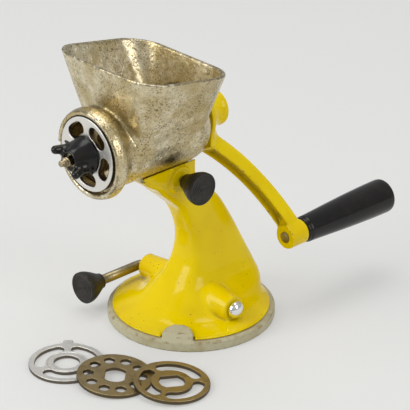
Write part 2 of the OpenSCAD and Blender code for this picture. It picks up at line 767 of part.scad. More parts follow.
module cutting_plate() {
    color(polished) along_minus_x(-plate_face + cutter_t, 0, axis_h) driven_plate()
        for (i = [0 : slot_count - 1]) rotate([0, 0, 180 + 360 * i / slot_count])
            arc_slot(slot_ring_d, slot_w, slot_sweep);
}

// Wing nut: a moulded cone with two swept ears and a threaded insert
module nut_insert() {
    color(stained) along_minus_x(-plate_face, 0, axis_h) difference() {
        cylinder(d = insert_d, h = nut_l - 2);
        translate([0, 0, -over]) cylinder(d = stud_d + 2 * run_gap, h = nut_l + 2 * over);
    }
}

module wing_nut() {
    r0 = nut_d / 2;
    r1 = nut_nose_d / 2;
    color(black) along_minus_x(-plate_face - face_gap, 0, axis_h) difference() {
        union() {
            rotate_extrude() polygon([[0, 0], [r0, 0], [r0, 1.4], [r0 - 0.8, nut_l * 0.2],
                [mix(r0, r1, 0.4), nut_l * 0.5], [mix(r0, r1, 0.8), nut_l * 0.8], [r1, nut_l], [0, nut_l]]);
            for (side = [0, 180]) rotate([0, 0, 90 - ear_turn + side]) ear();
        }
        translate([0, 0, -over]) cylinder(d = insert_d + 2 * run_gap, h = 2 * nut_l);
    }
}

// Ear of the wing nut: a rounded bar that leans out and forwards from the cone
module ear() {
    foot = nut_nose_d / 2 + 1.5;
    tip = foot + ear_l * 0.45;
    hull() {
        translate([foot, 0, nut_l * 0.35]) sphere(d = ear_t, $fn = 24);
        translate([foot, 0, nut_l * 0.75]) sphere(d = ear_t, $fn = 24);
        translate([tip, 0, nut_l + ear_l * 0.3]) sphere(d = ear_t, $fn = 24);
    }
}

// Turns the crank, made with its arm straight down, to where it rests
module at_crank() {
    translate([0, 0, axis_h]) rotate([-crank_angle, 0, 0]) children();
}

// Places a shape made along Z on the grip's line, with Z turned to +X
module at_grip(x) {
    at_crank() along_x(x, 0, -crank_r) children();
}

// Bowed centre line of the arm, from inside the hub at 0 to inside the end boss at 1
arm_start = [hub_x + 1.7, -hub_d * 0.47];
arm_bow = [bow_x, -bow_r];
arm_end = [crank_back + 8, 3 - crank_r];
function arm_point(t) = (1 - t) ^ 2 * arm_start + 2 * t * (1 - t) * arm_bow + t ^ 2 * arm_end;
function arm_way(t) = unit((1 - t) * (arm_bow - arm_start) + t * (arm_end - arm_bow));
function ramp(a, b, t) = min(max((t - a) / (b - a), 0), 1);

// Section of the arm: a rounded back and an open channel between two rims
function arm_section(w, depth) =
    let (r = 4,
         edge = 0.6,
         floor_w = w - channel_rim - 0.9)
    [[-w, edge], [-w + edge, 0], [-w + channel_rim, 0], [-floor_w, depth], [floor_w, depth],
     [w - channel_rim, 0], [w - edge, 0], [w, edge],
     for (a = [0 : 22.5 : 90]) [w - r + r * cos(a), arm_t - r + r * sin(a)],
     for (a = [90 : 22.5 : 180]) [-w + r + r * cos(a), arm_t - r + r * sin(a)]];

arm_steps = 22;
module arm_bar() {
    loft([for (i = [0 : arm_steps])
        let (t = mix(-0.12, 1, i / arm_steps),
             way = arm_way(t),
             inner = [way.y, -way.x],
             depth = channel_depth * ramp(0.06, 0.16, t) * (1 - ramp(0.88, 0.95, t)))
        [for (p = arm_section(mix(arm_hub_w, arm_end_w, ramp(0, 0.5, t)) / 2, depth))
            let (q = arm_point(t) + inner * (arm_t / 2 - p.y))
            [q.x, p.x, q.y]]]);
}

module hub_body() {
    r0 = hub_d / 2;
    r1 = hub_waist_d / 2;
    run = hub_rear - hub_x;
    along_x(hub_x, 0, 0) rotate_extrude() polygon([[0, 0], [r0 - 0.8, 0], [r0, 0.8], [r0, run * 0.14],
        [mix(r1, r0, 0.6), run * 0.24], [mix(r1, r0, 0.24), run * 0.4], [mix(r1, r0, 0.05), run * 0.58],
        [r1, run * 0.75], [r1 + 0.6, run * 0.88], [r1 + 0.6, run - 1], [r1 - 0.4, run], [0, run]]);
}

module crank_arm() {
    color(paint) difference() {
        union() {
            at_crank() hub_body();
            at_crank() arm_bar();
            at_grip(crank_back) cylinder(d = end_boss_d, h = end_boss_l);
        }
        at_crank() translate([hub_x - crank_r, -crank_r, -crank_r])
            cube([crank_r, 2 * crank_r, 2 * crank_r]);
        at_crank() along_x(hub_x - over, 0, 0)
            double_d(journal_d + 2 * run_gap, shank_flat + 2 * run_gap, shank_end - hub_x + 2 * over);
        at_crank() along_x(hub_x, 0, 0) cylinder(d = crank_screw_d + 2 * slip_gap, h = 2 * hub_rear);
        at_grip(crank_back - over) cylinder(d = spindle_d + 2 * fit_gap, h = 2 * end_boss_l);
    }
}

module crank_washer() {
    color(steel) along_x(hub_rear, 0, axis_h) difference() {
        cylinder(d = hub_waist_d * 0.62, h = washer_t);
        translate([0, 0, -over]) cylinder(d = crank_screw_d + 2 * slip_gap, h = washer_t + 2 * over);
    }
}

module crank_screw() {
    head_h = crank_screw_d * 0.65;
    head_d = crank_screw_d * 1.8;
    shank_l = hub_rear + washer_t - shank_end + screw_depth;
    color(steel) along_x(hub_rear + washer_t, 0, axis_h) difference() {
        union() {
            rotate_extrude() polygon([[0, 0], [head_d / 2, 0], [head_d / 2, head_h * 0.7],
                [head_d / 2 - 1, head_h], [0, head_h]]);
            translate([0, 0, -shank_l]) cylinder(d = crank_screw_d, h = shank_l + over);
        }
        translate([-0.7, -head_d, head_h - 1.6]) cube([1.4, 2 * head_d, 3]);
    }
}

// Spindle: riveted in the arm's boss, with a slotted head in the grip's outer end
module grip_spindle() {
    head_x = grip_x + grip_l - grip_recess + slip_gap;
    head_l = head_x - crank_back;
    color(steel) at_grip(crank_back) difference() {
        rotate_extrude() polygon([[0, -1.2], [spindle_d * 0.3, -1.1], [spindle_d * 0.5, -0.6],
            [spindle_d * 0.5, head_l], [spindle_d * 0.8, head_l],
            [spindle_d * 0.8, head_l + spindle_head_t], [0, head_l + spindle_head_t]]);
        translate([-0.7, -spindle_d, head_l + spindle_head_t - 1.3]) cube([1.4, 2 * spindle_d, 3]);
    }
}

module grip() {
    r0 = grip_d / 2;
    r1 = grip_end_d / 2;
    color(black) at_grip(grip_x) difference() {
        rotate_extrude() polygon([[0, 0], [r0 - 1.2, 0], [r0 - 0.6, 0.4], [r0 - 0.4, 2], [r0, 3],
            [mix(r0, r1, 0.5), grip_l * 0.46], [mix(r0, r1, 0.95), grip_l * 0.84], [r1, grip_l * 0.92],
            [r1 - 0.5, grip_l - 3.4], [r1 - 1.8, grip_l - 1.2], [r1 - 3.6, grip_l - 0.2],
            [r1 - 4.6, grip_l], [0, grip_l]]);
        translate([0, 0, -over]) cylinder(d = spindle_d + 2 * run_gap, h = grip_l + 2 * over);
        translate([0, 0, grip_l - grip_recess])
            cylinder(d = spindle_d * 1.6 + 2 * slip_gap, h = grip_recess + over);
    }
}

// Lays a cutter down against its neighbour: its near side is lifted and its far side is on the table
module leaning(place, direction, lift) {
    tilt = atan(lift / spare_pitch);
    translate([place.x, place.y, cutter_r * sin(tilt)]) rotate([0, 0, direction]) rotate([0, tilt, 0])
        children();
}

next_lift = cutter_t + lay_gap;
next_tilt = atan(next_lift / spare_pitch);
last_lift = cutter_t + 2 * lay_gap + cutter_r * sin(next_tilt) * (1 - cos(spare_dir_next - spare_dir));

module spare_fixed_cutter() {
    color(polished) translate([spare_x, spare_y, 0]) rotate([0, 0, spare_tab_dir]) tabbed_cutter();
}

module spare_medium_plate() {
    color(stained) leaning(spare_next, spare_dir, next_lift) driven_plate()
        for (i = [0 : hole_count - 1]) rotate([0, 0, 360 * i / hole_count])
            translate([slot_ring_d / 2, 0, -over]) cylinder(d = hole_d, h = cutter_t + 2 * over, $fn = 32);
}

module spare_coarse_plate() {
    color(stained) leaning(spare_last, spare_dir_next, last_lift) driven_plate()
        for (a = [0 : 120 : 240]) rotate([0, 0, a + spare_slot_turn])
            arc_slot(slot_ring_d, long_slot_w, long_sweep);
}

suction_pad();
stand();
pull_yoke();
eccentric_cam();
lever_shaft();
lever_knob();
shaft_cap();
clamp_screw();
clamp_knob();
barrel_casting();
thrust_washer();
feed_worm();
worm_stud();
fixed_cutter();
cutting_plate();
nut_insert();
wing_nut();
crank_arm();
crank_washer();
crank_screw();
grip_spindle();
grip();
spare_fixed_cutter();
spare_medium_plate();
spare_coarse_plate();
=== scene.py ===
"""Looks of a hand-cranked meat mincer: castings, turned and threaded pieces, finishes and stage.

The castings are zero levels of distance-like fields in millimetres, joined with round fillets, and the
turned pieces are profiles carried round an axis. Everything stands in the frame of the solid model.
"""

import json

import bmesh
import bpy
import numpy as np
from bpy.props import FloatProperty, FloatVectorProperty, PointerProperty
from mathutils import Matrix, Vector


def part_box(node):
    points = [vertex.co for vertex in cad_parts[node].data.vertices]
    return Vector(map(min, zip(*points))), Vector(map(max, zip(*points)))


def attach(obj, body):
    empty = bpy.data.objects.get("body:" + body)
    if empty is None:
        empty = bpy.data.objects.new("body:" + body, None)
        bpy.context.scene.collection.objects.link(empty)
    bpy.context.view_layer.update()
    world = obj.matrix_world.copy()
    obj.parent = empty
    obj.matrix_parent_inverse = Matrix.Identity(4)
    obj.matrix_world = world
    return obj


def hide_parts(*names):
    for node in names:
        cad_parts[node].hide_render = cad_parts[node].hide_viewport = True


bl_info = {
    "name": "Meat mincer looks",
    "version": (1, 0, 0),
    "blender": (4, 5, 0),
    "location": "View3D > Sidebar > Mincer",
    "description": "Builds the surfaces, finishes and studio of a hand-cranked meat mincer",
    "category": "Object",
}

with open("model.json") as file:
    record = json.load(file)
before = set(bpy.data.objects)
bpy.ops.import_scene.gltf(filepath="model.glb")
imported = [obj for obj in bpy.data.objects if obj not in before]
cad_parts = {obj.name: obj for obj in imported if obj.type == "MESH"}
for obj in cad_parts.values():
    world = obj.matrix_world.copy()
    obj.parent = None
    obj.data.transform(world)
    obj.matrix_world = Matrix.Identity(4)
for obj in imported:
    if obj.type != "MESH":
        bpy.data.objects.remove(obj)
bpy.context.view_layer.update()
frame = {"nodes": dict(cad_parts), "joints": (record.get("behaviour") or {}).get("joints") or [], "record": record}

# Places taken from the frame, in millimetres
MM = 0.001
JOINTS = {joint["name"]: joint for joint in frame["joints"]}
BOXES = {name: np.array(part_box(name)) / MM for name in frame["nodes"]}
AXIS_Z = JOINTS["crank_turn"]["pos_m"][2] / MM
GRIP_Y, GRIP_Z = (v / MM for v in JOINTS["grip_spin"]["pos_m"][1:])
LEVER_Z = JOINTS["lever_turn"]["pos_m"][2] / MM
CLAMP_X, CLAMP_Z = (JOINTS["clamp_turn"]["pos_m"][k] / MM for k in (0, 2))
CRANK_R = np.hypot(GRIP_Y, AXIS_Z - GRIP_Z)
CRANK_ANGLE = np.arctan2(-GRIP_Y, AXIS_Z - GRIP_Z)


# Colours and number helpers


def linear(hex_code):
    """Linear RGBA of an sRGB hex colour."""
    srgb = np.array([int(hex_code[i:i + 2], 16) for i in (1, 3, 5)]) / 255
    rgb = np.where(srgb <= 0.04045, srgb / 12.92, ((srgb + 0.055) / 1.055) ** 2.4)
    return (*rgb, 1.0)


def mix(a, b, t):
    """The value part of the way from one to the other."""
    return a + (b - a) * t


def ramp(low, high, t):
    """Nought below one bound, one above the other and straight between."""
    return np.clip((t - low) / (high - low), 0, 1)


def flow(rows, v):
    """Columns of a table at values of its first column: a cubic through the rows.

    The cubic's slope at a row is that between the rows on either side of it.
    """
    rows = np.asarray(rows, float)
    key = rows[:, 0]
    before = np.maximum(np.arange(len(rows)) - 1, 0)
    after = np.minimum(np.arange(len(rows)) + 1, len(rows) - 1)
    slope = (rows[after] - rows[before]) / (key[after] - key[before])[:, None]
    v = np.clip(np.asarray(v, float), key[0], key[-1])
    i = np.clip(np.searchsorted(key, v, side="right") - 1, 0, len(rows) - 2)
    h = (key[i + 1] - key[i])[..., None]
    t = (v - key[i])[..., None] / h
    a, b = rows[i], rows[i + 1]
    curve = ((2 * t**3 - 3 * t**2 + 1) * a + (t**3 - 2 * t**2 + t) * h * slope[i]
             + (3 * t**2 - 2 * t**3) * b + (t**3 - t**2) * h * slope[i + 1])
    return np.moveaxis(curve[..., 1:], -1, 0)


# Fields: negative inside, about the distance in millimetres outside


def both(a, b, r):
    """Where two fields overlap, with the edge between them rounded to a radius."""
    return np.minimum(np.maximum(a, b), -r) + np.hypot(np.maximum(a + r, 0), np.maximum(b + r, 0))


def either(a, b, r):
    """Two fields joined, with a fillet of a radius between them."""
    return np.maximum(np.minimum(a, b), r) - np.hypot(np.maximum(r - a, 0), np.maximum(r - b, 0))


def less(a, b, r):
    """The first field without the second, with its new edge rounded to a radius."""
    return both(a, -b, r)


def block(p, low, high):
    """A box between two corners."""
    low, high = np.array(low, float), np.array(high, float)
    q = np.abs(p - (low + high) / 2) - (high - low) / 2
    return np.linalg.norm(np.maximum(q, 0), axis=-1) + np.minimum(q.max(-1), 0)


def rod(u, v, s, radius, low, high, edge):
    """A round bar of a radius along s, between two ends, with rounded edges."""
    return both(np.hypot(u, v) - radius, np.maximum(low - s, s - high), edge)


def slot_arc(x, y, ring, width, sweep):
    """A kidney slot: a width about an arc of a ring, centred on +X, with round ends."""
    angle = np.abs(np.arctan2(y, x))
    half = np.radians(sweep) / 2
    end = np.hypot(x - ring * np.cos(half), np.abs(y) - ring * np.sin(half))
    return np.where(angle < half, np.abs(np.hypot(x, y) - ring), end) - width / 2


# Meshes

# Points nearer than this, in millimetres, are one point
JOIN_GAP = 0.002
# How the surface of a field is found: grid steps left round its box, rounds of Newton's method with
# their step in millimetres, and the grid steps over which its normal and curve are measured
GRID_MARGIN = 1.5
NEWTON_ROUNDS = 3
NEWTON_STEP = 0.05
CURVE_STEPS = 0.4
# Ways on which shelter is felt: their number, their parts along and across the normal, and their lengths
SHELTER_WAYS = 6
SHELTER_RISE, SHELTER_LEAN = 0.55, 0.835
SHELTER_REACHES = (4.0, 9.0)
# A direction along none of the axes that pieces have
ASKEW = (0.3, 0.5, 0.8)


def put_mesh(name, points, quads, body, slot, node, normals=None, marks=None):
    """Makes a piece from points in millimetres and four-cornered faces, and gives it to its body.

    Points that fall together, as at a pole, are joined. Marks are values at the points, for the finish
    to read.
    """
    mesh = bpy.data.meshes.new(name)
    mesh.from_pydata((points * MM).tolist(), [], quads.tolist())
    for mark, values in (marks or {}).items():
        layer = mesh.attributes.new(mark, "FLOAT", "POINT")
        layer.data.foreach_set("value", values.astype(np.float32))
    if normals is None:
        joined = bmesh.new()
        joined.from_mesh(mesh)
        bmesh.ops.remove_doubles(joined, verts=joined.verts, dist=JOIN_GAP * MM)
        joined.to_mesh(mesh)
        joined.free()
    mesh.polygons.foreach_set("use_smooth", np.ones(len(mesh.polygons), bool))
    if normals is not None:
        mesh.normals_split_custom_set_from_vertices(normals.tolist())
    mesh.materials.append(finish_of(slot))
    piece = bpy.data.objects.new(name, mesh)
    bpy.context.scene.collection.objects.link(piece)
    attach(piece, body)
    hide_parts(node)
    return piece


def cast_surface(field, low, high, step):
    """Points, quads, normals and marks of a field's zero level on a grid of a step.

    Each grid cell that the surface crosses gets one point, the mean of the crossings on its edges, which
    Newton steps along the gradient bring onto the surface. Each crossed grid edge gets one quad through
    its four cells. The edge mark is the field's Laplacian: positive on ridges, negative in hollows. The
    shelter mark is how far the field falls short of the height gained when one leaves the surface on
    slanting ways all round: nought in the open, near one in a narrow place. The flank mark is how far
    the normal lies from the field's own Z.
    """
    low = np.array(low, float) - GRID_MARGIN * step
    high = np.array(high, float) + GRID_MARGIN * step
    count = np.ceil((high - low) / step).astype(int) + 1
    axes = [low[k] + step * np.arange(count[k]) for k in range(3)]
    value = field(np.stack(np.meshgrid(*axes, indexing="ij"), -1))
    inside = value < 0
    cells = count - 1
    total = np.zeros((np.prod(cells), 3))
    hits = np.zeros(np.prod(cells))
    quads = []
    for k in range(3):
        a, b = (k + 1) % 3, (k + 2) % 3
        first = [slice(None)] * 3
        second = [slice(None)] * 3
        first[k], second[k] = slice(None, -1), slice(1, None)
        first[a] = second[a] = slice(1, -1)
        first[b] = second[b] = slice(1, -1)
        start, stop = value[tuple(first)], value[tuple(second)]
        crossed = inside[tuple(first)] != inside[tuple(second)]
        where = np.argwhere(crossed)
        where[:, a] += 1
        where[:, b] += 1
        point = low + step * where
        point[:, k] += step * start[crossed] / (start[crossed] - stop[crossed])
        corners = []
        for da, db in ((-1, -1), (0, -1), (0, 0), (-1, 0)):
            cell = where.copy()
            cell[:, a] += da
            cell[:, b] += db
            index = np.ravel_multi_index(cell.T, cells)
            np.add.at(total, index, point)
            np.add.at(hits, index, 1)
            corners.append(index)
        quad = np.stack(corners, 1)
        outward = start[crossed] < 0
        quads.append(np.where(outward[:, None], quad, quad[:, ::-1]))
    used = np.flatnonzero(hits)
    place = np.zeros(len(hits), int)
    place[used] = np.arange(len(used))
    points = total[used] / hits[used][:, None]
    for _ in range(NEWTON_ROUNDS):
        slope, middle, _ = gradient(field, points, NEWTON_STEP)
        points = points - slope * (middle / np.maximum((slope**2).sum(1), 0.05))[:, None]
    slope, _, curve = gradient(field, points, CURVE_STEPS * step)
    normals = slope / np.maximum(np.linalg.norm(slope, axis=1), 1e-6)[:, None]
    marks = {
        "edge": curve,
        "shelter": sheltered(field, points, normals),
        "flank": 1 - np.abs(normals[:, 2]),
    }
    return points, place[np.concatenate(quads)], normals, marks


def sheltered(field, points, normals):
    """Mean shortfall of a field on ways that slant from the normals, at two distances in millimetres."""
    first = np.cross(normals, [0.31, 0.52, 0.79])
    first /= np.maximum(np.linalg.norm(first, axis=1), 1e-6)[:, None]
    second = np.cross(normals, first)
    short = []
    for turn in np.arange(SHELTER_WAYS) * 2 * np.pi / SHELTER_WAYS:
        level = np.cos(turn) * first + np.sin(turn) * second
        way = SHELTER_RISE * normals + SHELTER_LEAN * level
        for reach in SHELTER_REACHES:
            gained = field(points + reach * way) / (SHELTER_RISE * reach)
            short.append(1 - np.clip(gained, 0, 1))
    return np.mean(short, 0)


def gradient(field, points, h):
    """Gradient, value and Laplacian of a field, from values a step to either side."""
    middle = field(points)
    slope = np.zeros_like(points)
    curve = -6 * middle
    for k in range(3):
        shift = np.zeros(3)
        shift[k] = h
        up, down = field(points + shift), field(points - shift)
        slope[:, k] = (up - down) / (2 * h)
        curve = curve + up + down
    return slope, middle, curve / h**2


def true_distance(field, p, h=0.3):
    """A field divided by its own slope, so that it reads about a distance near its surface."""
    middle = field(p)
    slope = np.sqrt(sum(((field(p + shift) - middle) / h) ** 2 for shift in np.eye(3) * h))
    return middle / np.maximum(slope, 0.6)


def cast_piece(name, field, node, body, slot, step, place=None):
    """A casting or moulding in its node's box. A place is a turn and a move from the field's own frame."""
    corners = BOXES[node]
    if place is not None:
        turn, move = place
        grid = np.array([[corners[i][0], corners[j][1], corners[k][2]]
                         for i in (0, 1) for j in (0, 1) for k in (0, 1)])
        local = (grid - move) @ turn
        corners = np.array([local.min(0), local.max(0)])
    points, quads, normals, marks = cast_surface(field, corners[0], corners[1], step)
    if place is not None:
        points = points @ turn.T + move
        normals = normals @ turn.T
    return put_mesh(name, points, quads, body, slot, node, normals, marks)


def turned(along, radius, origin, axis, segments=96):
    """Points and quads of a surface at a radius round an axis, for rows along it and columns about it."""
    along, radius = np.asarray(along, float), np.asarray(radius, float)
    radius = radius.reshape(len(along), -1, 1)
    axis = np.asarray(axis, float)
    across = np.cross(axis, ASKEW)
    across /= np.linalg.norm(across)
    angle = np.linspace(0, 2 * np.pi, segments, endpoint=False)
    ring = np.cos(angle)[:, None] * across + np.sin(angle)[:, None] * np.cross(axis, across)
    points = np.asarray(origin, float) + along[:, None, None] * axis + radius * ring
    return points.reshape(-1, 3), grid_quads(len(along), segments)


def turned_piece(name, profile, origin, axis, body, slot, node):
    """A piece turned from rows of a profile, along and out, about an axis from an origin."""
    points, quads = turned(*profile, origin, axis)
    return put_mesh(name, points, quads, body, slot, node)


def grid_quads(rows, columns):
    """Quads of a grid that closes on itself across its columns."""
    i, j = np.meshgrid(np.arange(rows - 1), np.arange(columns), indexing="ij")
    k = (j + 1) % columns
    here, beyond = i * columns, (i + 1) * columns
    return np.stack([here + j, here + k, beyond + k, beyond + j], -1).reshape(-1, 4)


def rounded(profile, radius, steps=5):
    """A profile of (along, radius) corners with each inner corner replaced by a smooth bend."""
    profile = np.asarray(profile, float)
    rows = [profile[0]]
    for p, v, q in zip(profile[:-2], profile[1:-1], profile[2:]):
        a, b = p - v, q - v
        reach = min(radius, 0.45 * np.linalg.norm(a), 0.45 * np.linalg.norm(b))
        start, stop = v + a / np.linalg.norm(a) * reach, v + b / np.linalg.norm(b) * reach
        t = np.linspace(0, 1, steps)[:, None]
        rows.extend((1 - t) ** 2 * start + 2 * t * (1 - t) * v + t**2 * stop)
    rows.append(profile[-1])
    return np.array(rows)


# Finishes


def node(tree, kind, inputs=None, out=0, **settings):
    """Adds a shader node with its settings, sets or links its inputs, and gives one of its outputs."""
    made = tree.nodes.new("ShaderNode" + kind)
    for name, value in settings.items():
        setattr(made, name, value)
    for name, value in (inputs or {}).items():
        if isinstance(value, bpy.types.NodeSocket):
            tree.links.new(value, made.inputs[name])
        else:
            made.inputs[name].default_value = value
    return made.outputs[out] if made.outputs else made


def new_finish(name, settings=None):
    """A material of a name with only a surface shader of given settings, its tree and that shader."""
    material = bpy.data.materials.new(name)
    material.use_nodes = True
    tree = material.node_tree
    tree.nodes.clear()
    surface = node(tree, "BsdfPrincipled", settings)
    node(tree, "OutputMaterial", {"Surface": surface})
    return material, tree, surface.node


def patches(tree, size, span, reach=(0.0, 1.0), detail=4.0, stretch=(1.0, 1.0, 1.0)):
    """Patches of a size in millimetres: noise whose levels in a span become a smooth reach of values."""
    place = node(tree, "Mapping", {"Vector": node(tree, "TexCoord", out="Object"), "Scale": stretch})
    noise = node(tree, "TexNoise", {"Vector": place, "Scale": 1 / (size * MM), "Detail": detail,
                                    "Roughness": 0.62})
    levels = {"Value": noise, "From Min": span[0], "From Max": span[1], "To Min": reach[0],
              "To Max": reach[1]}
    return node(tree, "MapRange", levels, interpolation_type="SMOOTHSTEP")


def marked(tree, mark, span, strength=1.0, within=None):
    """A mask of a strength where a surface's mark rises through a span, within other patches if given."""
    value = node(tree, "Attribute", out="Fac", attribute_name=mark)
    levels = {"Value": value, "From Min": span[0], "From Max": span[1], "To Max": strength}
    mask = node(tree, "MapRange", levels, interpolation_type="SMOOTHSTEP")
    return mask if within is None else node(tree, "Math", {0: mask, 1: within}, operation="MULTIPLY")


def laid(tree, colour, *coats):
    """A colour with others laid over it in turn, each by its own mask."""
    for mask, over in coats:
        colour = node(tree, "Mix", {0: mask, 6: colour, 7: over}, 2, data_type="RGBA")
    return colour


def dress(tree, shader, colour, roughness, *heights):
    """Links a colour, a roughness and reliefs, each a height with its depth in millimetres, to a shader."""
    tree.links.new(colour, shader.inputs["Base Color"])
    tree.links.new(roughness, shader.inputs["Roughness"])
    below = None
    for height, depth in heights:
        inputs = {"Height": height, "Distance": depth * MM}
        if below is not None:
            inputs["Normal"] = below
        below = node(tree, "Bump", inputs)
    tree.links.new(below, shader.inputs["Normal"])


def enamel(looks):
    """Stoved enamel, sprayed on iron: an even lemon gloss with a slow ripple, chipped grey on ridges."""
    material, tree, shader = new_finish("stoved_enamel", {"Specular IOR Level": 0.20})
    chips = marked(tree, "edge", (0.35, 0.9), 1.0, patches(tree, 3.2, (0.61, 0.65), detail=6.0))
    # Painted shade and dirt: sheltered places, such as the crank's channel and under the saddle, are laid darker
    # yellow
    grime_and_shade = marked(tree, "shelter", (0.30, 0.75), 0.85, patches(tree, 7.0, (0.25, 0.55), (0.55, 1.0)))
    # Painted shade and dirt: hollows, where the surface curves inwards, are laid with the grime colour
    hollow_dirt_and_shade = marked(tree, "edge", (-0.2, -0.6), 0.35, patches(tree, 5.0, (0.45, 0.66)))
    # Rust comes through pinholes of about a millimetre, gathered in a few places
    pinholes = node(tree, "Math", {0: patches(tree, 1.5, (0.72, 0.75), detail=1.0),
                                   1: patches(tree, 19.0, (0.50, 0.60), detail=1.0)}, operation="MULTIPLY")
    thick = patches(tree, 30.0, (0.35, 0.75), detail=1.0)
    colour = laid(tree, looks.enamel, (thick, looks.enamel_deep), (grime_and_shade, looks.enamel_dirt_and_shade),
                  (hollow_dirt_and_shade, looks.grime_and_shade), (pinholes, looks.rust), (chips, looks.bare_iron))
    dress(tree, shader, colour, patches(tree, 8.0, (0.35, 0.7), (0.07, 0.13)),
          (patches(tree, 16.0, (0.2, 0.8), detail=0.0), 0.02), (chips, -0.10))
    return material


def tinned_iron(looks):
    """Hot-tinned cast iron: a warm silver sheen, clouded where the tin is thin, with dark sand pits."""
    material, tree, shader = new_finish("tinned_cast_iron", {"Metallic": 1.0})
    clouds = patches(tree, 24.0, (0.40, 0.64), (0.0, 0.9), 3.0)
    mottle = patches(tree, 4.0, (0.40, 0.66), (0.0, 0.8), 6.0)
    # Sand grains of half a millimetre leave pits, drawn here at about one so that they show
    pits = node(tree, "Math", {0: patches(tree, 1.15, (0.50, 0.66), detail=3.0),
                               1: patches(tree, 18.0, (0.38, 0.62), (0.25, 0.95))}, operation="MULTIPLY")
    bare = marked(tree, "edge", (0.25, 0.8), 0.8, patches(tree, 4.0, (0.40, 0.62)))
    # Painted shade and soot: sheltered places, such as the hopper's lower inside and the slots, are laid darker
    soot_and_shade = marked(tree, "shelter", (0.30, 0.85), 0.8, patches(tree, 6.0, (0.30, 0.62), (0.4, 1.0)))
    colour = laid(tree, looks.tin_bright, (clouds, looks.tin_warm), (mottle, looks.tin),
                  (soot_and_shade, looks.tin_soot_and_shade), (bare, looks.tin_worn), (pits, looks.pit))
    dress(tree, shader, colour, patches(tree, 4.5, (0.3, 0.7), (0.22, 0.40), 5.0),
          (patches(tree, 8.0, (0.2, 0.8), detail=4.0), 0.30), (pits, -0.10))
    return material


def moulded_black(looks):
    """Moulded phenolic: a brownish black with a low sheen, dusty in its grooves and along its edges."""
    material, tree, shader = new_finish("moulded_phenolic", {"Specular IOR Level": 0.36})
    dust = marked(tree, "shelter", (0.3, 0.7), 0.5)
    faded = patches(tree, 5.0, (0.42, 0.72), detail=6.0)
    colour = laid(tree, looks.phenolic, (faded, looks.phenolic_dust), (dust, looks.phenolic_dust))
    dress(tree, shader, colour, patches(tree, 2.2, (0.3, 0.7), (0.34, 0.52)),
          (patches(tree, 0.9, (0.2, 0.8)), 0.05))
    return material


def polished_black(looks):
    """Polished phenolic: a deep black gloss, rubbed by the hand into hairlines that run along the grip."""
    material, tree, shader = new_finish("polished_phenolic", {"Specular IOR Level": 0.36})
    faded = patches(tree, 10.0, (0.42, 0.72), detail=5.0)
    colour = laid(tree, looks.gloss_black, (faded, looks.phenolic))
    dress(tree, shader, colour, patches(tree, 3.0, (0.35, 0.7), (0.15, 0.24), 5.0, (0.15, 1.0, 1.0)),
          (patches(tree, 1.4, (0.2, 0.8), detail=3.0, stretch=(0.06, 1.0, 1.0)), 0.008))
    return material


def steel(looks, name, colour, stain, amount, roughness):
    """Ground or plated metal: even, clouded and spotted by an amount of stain, darker in sheltered places by stain
    and painted shade, and dark brown on its cut sides by rust and painted shade.
    """
    material, tree, shader = new_finish(name, {"Metallic": 1.0})
    clouds = patches(tree, 13.0, (0.62 - 0.3 * amount, 0.84 - 0.2 * amount),
                     (0.0, 0.25 + 0.7 * amount), 5.0)
    spots = patches(tree, 1.8, (0.60, 0.70), (0.0, 0.7 * amount), 4.0)
    # Painted shade and dirt: sheltered places, such as slots and recesses, take the stain colour
    dirt_and_shade = marked(tree, "shelter", (0.28, 0.7), 0.35 + 0.4 * amount)
    # Rust and painted shade: sides whose normals lie away from Z are laid dark brown, standing in for the shaded
    # floor they reflect
    sides = marked(tree, "flank", (0.25, 0.75), 0.9)
    tint = laid(tree, colour, (clouds, stain), (spots, stain), (dirt_and_shade, stain), (sides, looks.rusty_shaded_side))
    dress(tree, shader, tint, patches(tree, 3.0, (0.3, 0.7), (roughness, roughness + 0.12), 5.0),
          (patches(tree, 1.1, (0.2, 0.8)), 0.012 + 0.02 * amount))
    return material


def pad_rubber(looks):
    """Moulded rubber, aged: matt and grey-green, buff where it has perished, brown along its shoulders."""
    material, tree, shader = new_finish("aged_rubber", {"Specular IOR Level": 0.3})
    perished = patches(tree, 14.0, (0.42, 0.70), (0.0, 0.8), 5.0)
    stains = marked(tree, "edge", (0.12, 0.5), 0.6, patches(tree, 6.0, (0.47, 0.64)))
    # Painted shade and dirt: sheltered places, such as under the stand's edge and round the tab, are laid with the
    # grime colour
    dirt_and_shade = marked(tree, "shelter", (0.35, 0.8), 0.7)
    spots = patches(tree, 2.6, (0.66, 0.74), (0.0, 0.45))
    colour = laid(tree, looks.rubber, (perished, looks.rubber_dark), (spots, looks.rubber_stain),
                  (stains, looks.rubber_stain), (dirt_and_shade, looks.grime_and_shade))
    dress(tree, shader, colour, patches(tree, 4.0, (0.3, 0.7), (0.52, 0.68)),
          (patches(tree, 2.2, (0.2, 0.8)), 0.08))
    return material


FINISHES = {}


def finish_of(slot):
    """The material of a slot of the record, made once."""
    if not FINISHES:
        looks = bpy.context.scene.mincer_looks
        FINISHES.update({
            "yellow_paint": enamel(looks),
            "tinned_iron": tinned_iron(looks),
            "black_moulding": moulded_black(looks),
            "black_gloss": polished_black(looks),
            # Name, colour, stain, amount of stain and roughness; the stain colour is also laid as painted shade in
            # sheltered places
            "cutter_steel": steel(looks, "ground_steel", looks.bright_steel, looks.steel_stain_and_shade, 0.12, 0.38),
            "stained_steel": steel(looks, "stained_steel", looks.brown_steel, looks.brown_stain_and_shade, 0.55, 0.36),
            "plain_steel": steel(looks, "plated_steel", looks.plated_steel, looks.brown_stain_and_shade, 0.6, 0.30),
            "bright_plate": steel(looks, "chrome_plate", looks.chrome, looks.bright_steel, 0.05, 0.05),
            "thread_brass": steel(looks, "tarnished_brass", looks.brass, looks.brass_tarnish_and_shade, 0.8, 0.30),
            "pad_rubber": pad_rubber(looks),
        })
    return FINISHES[slot]


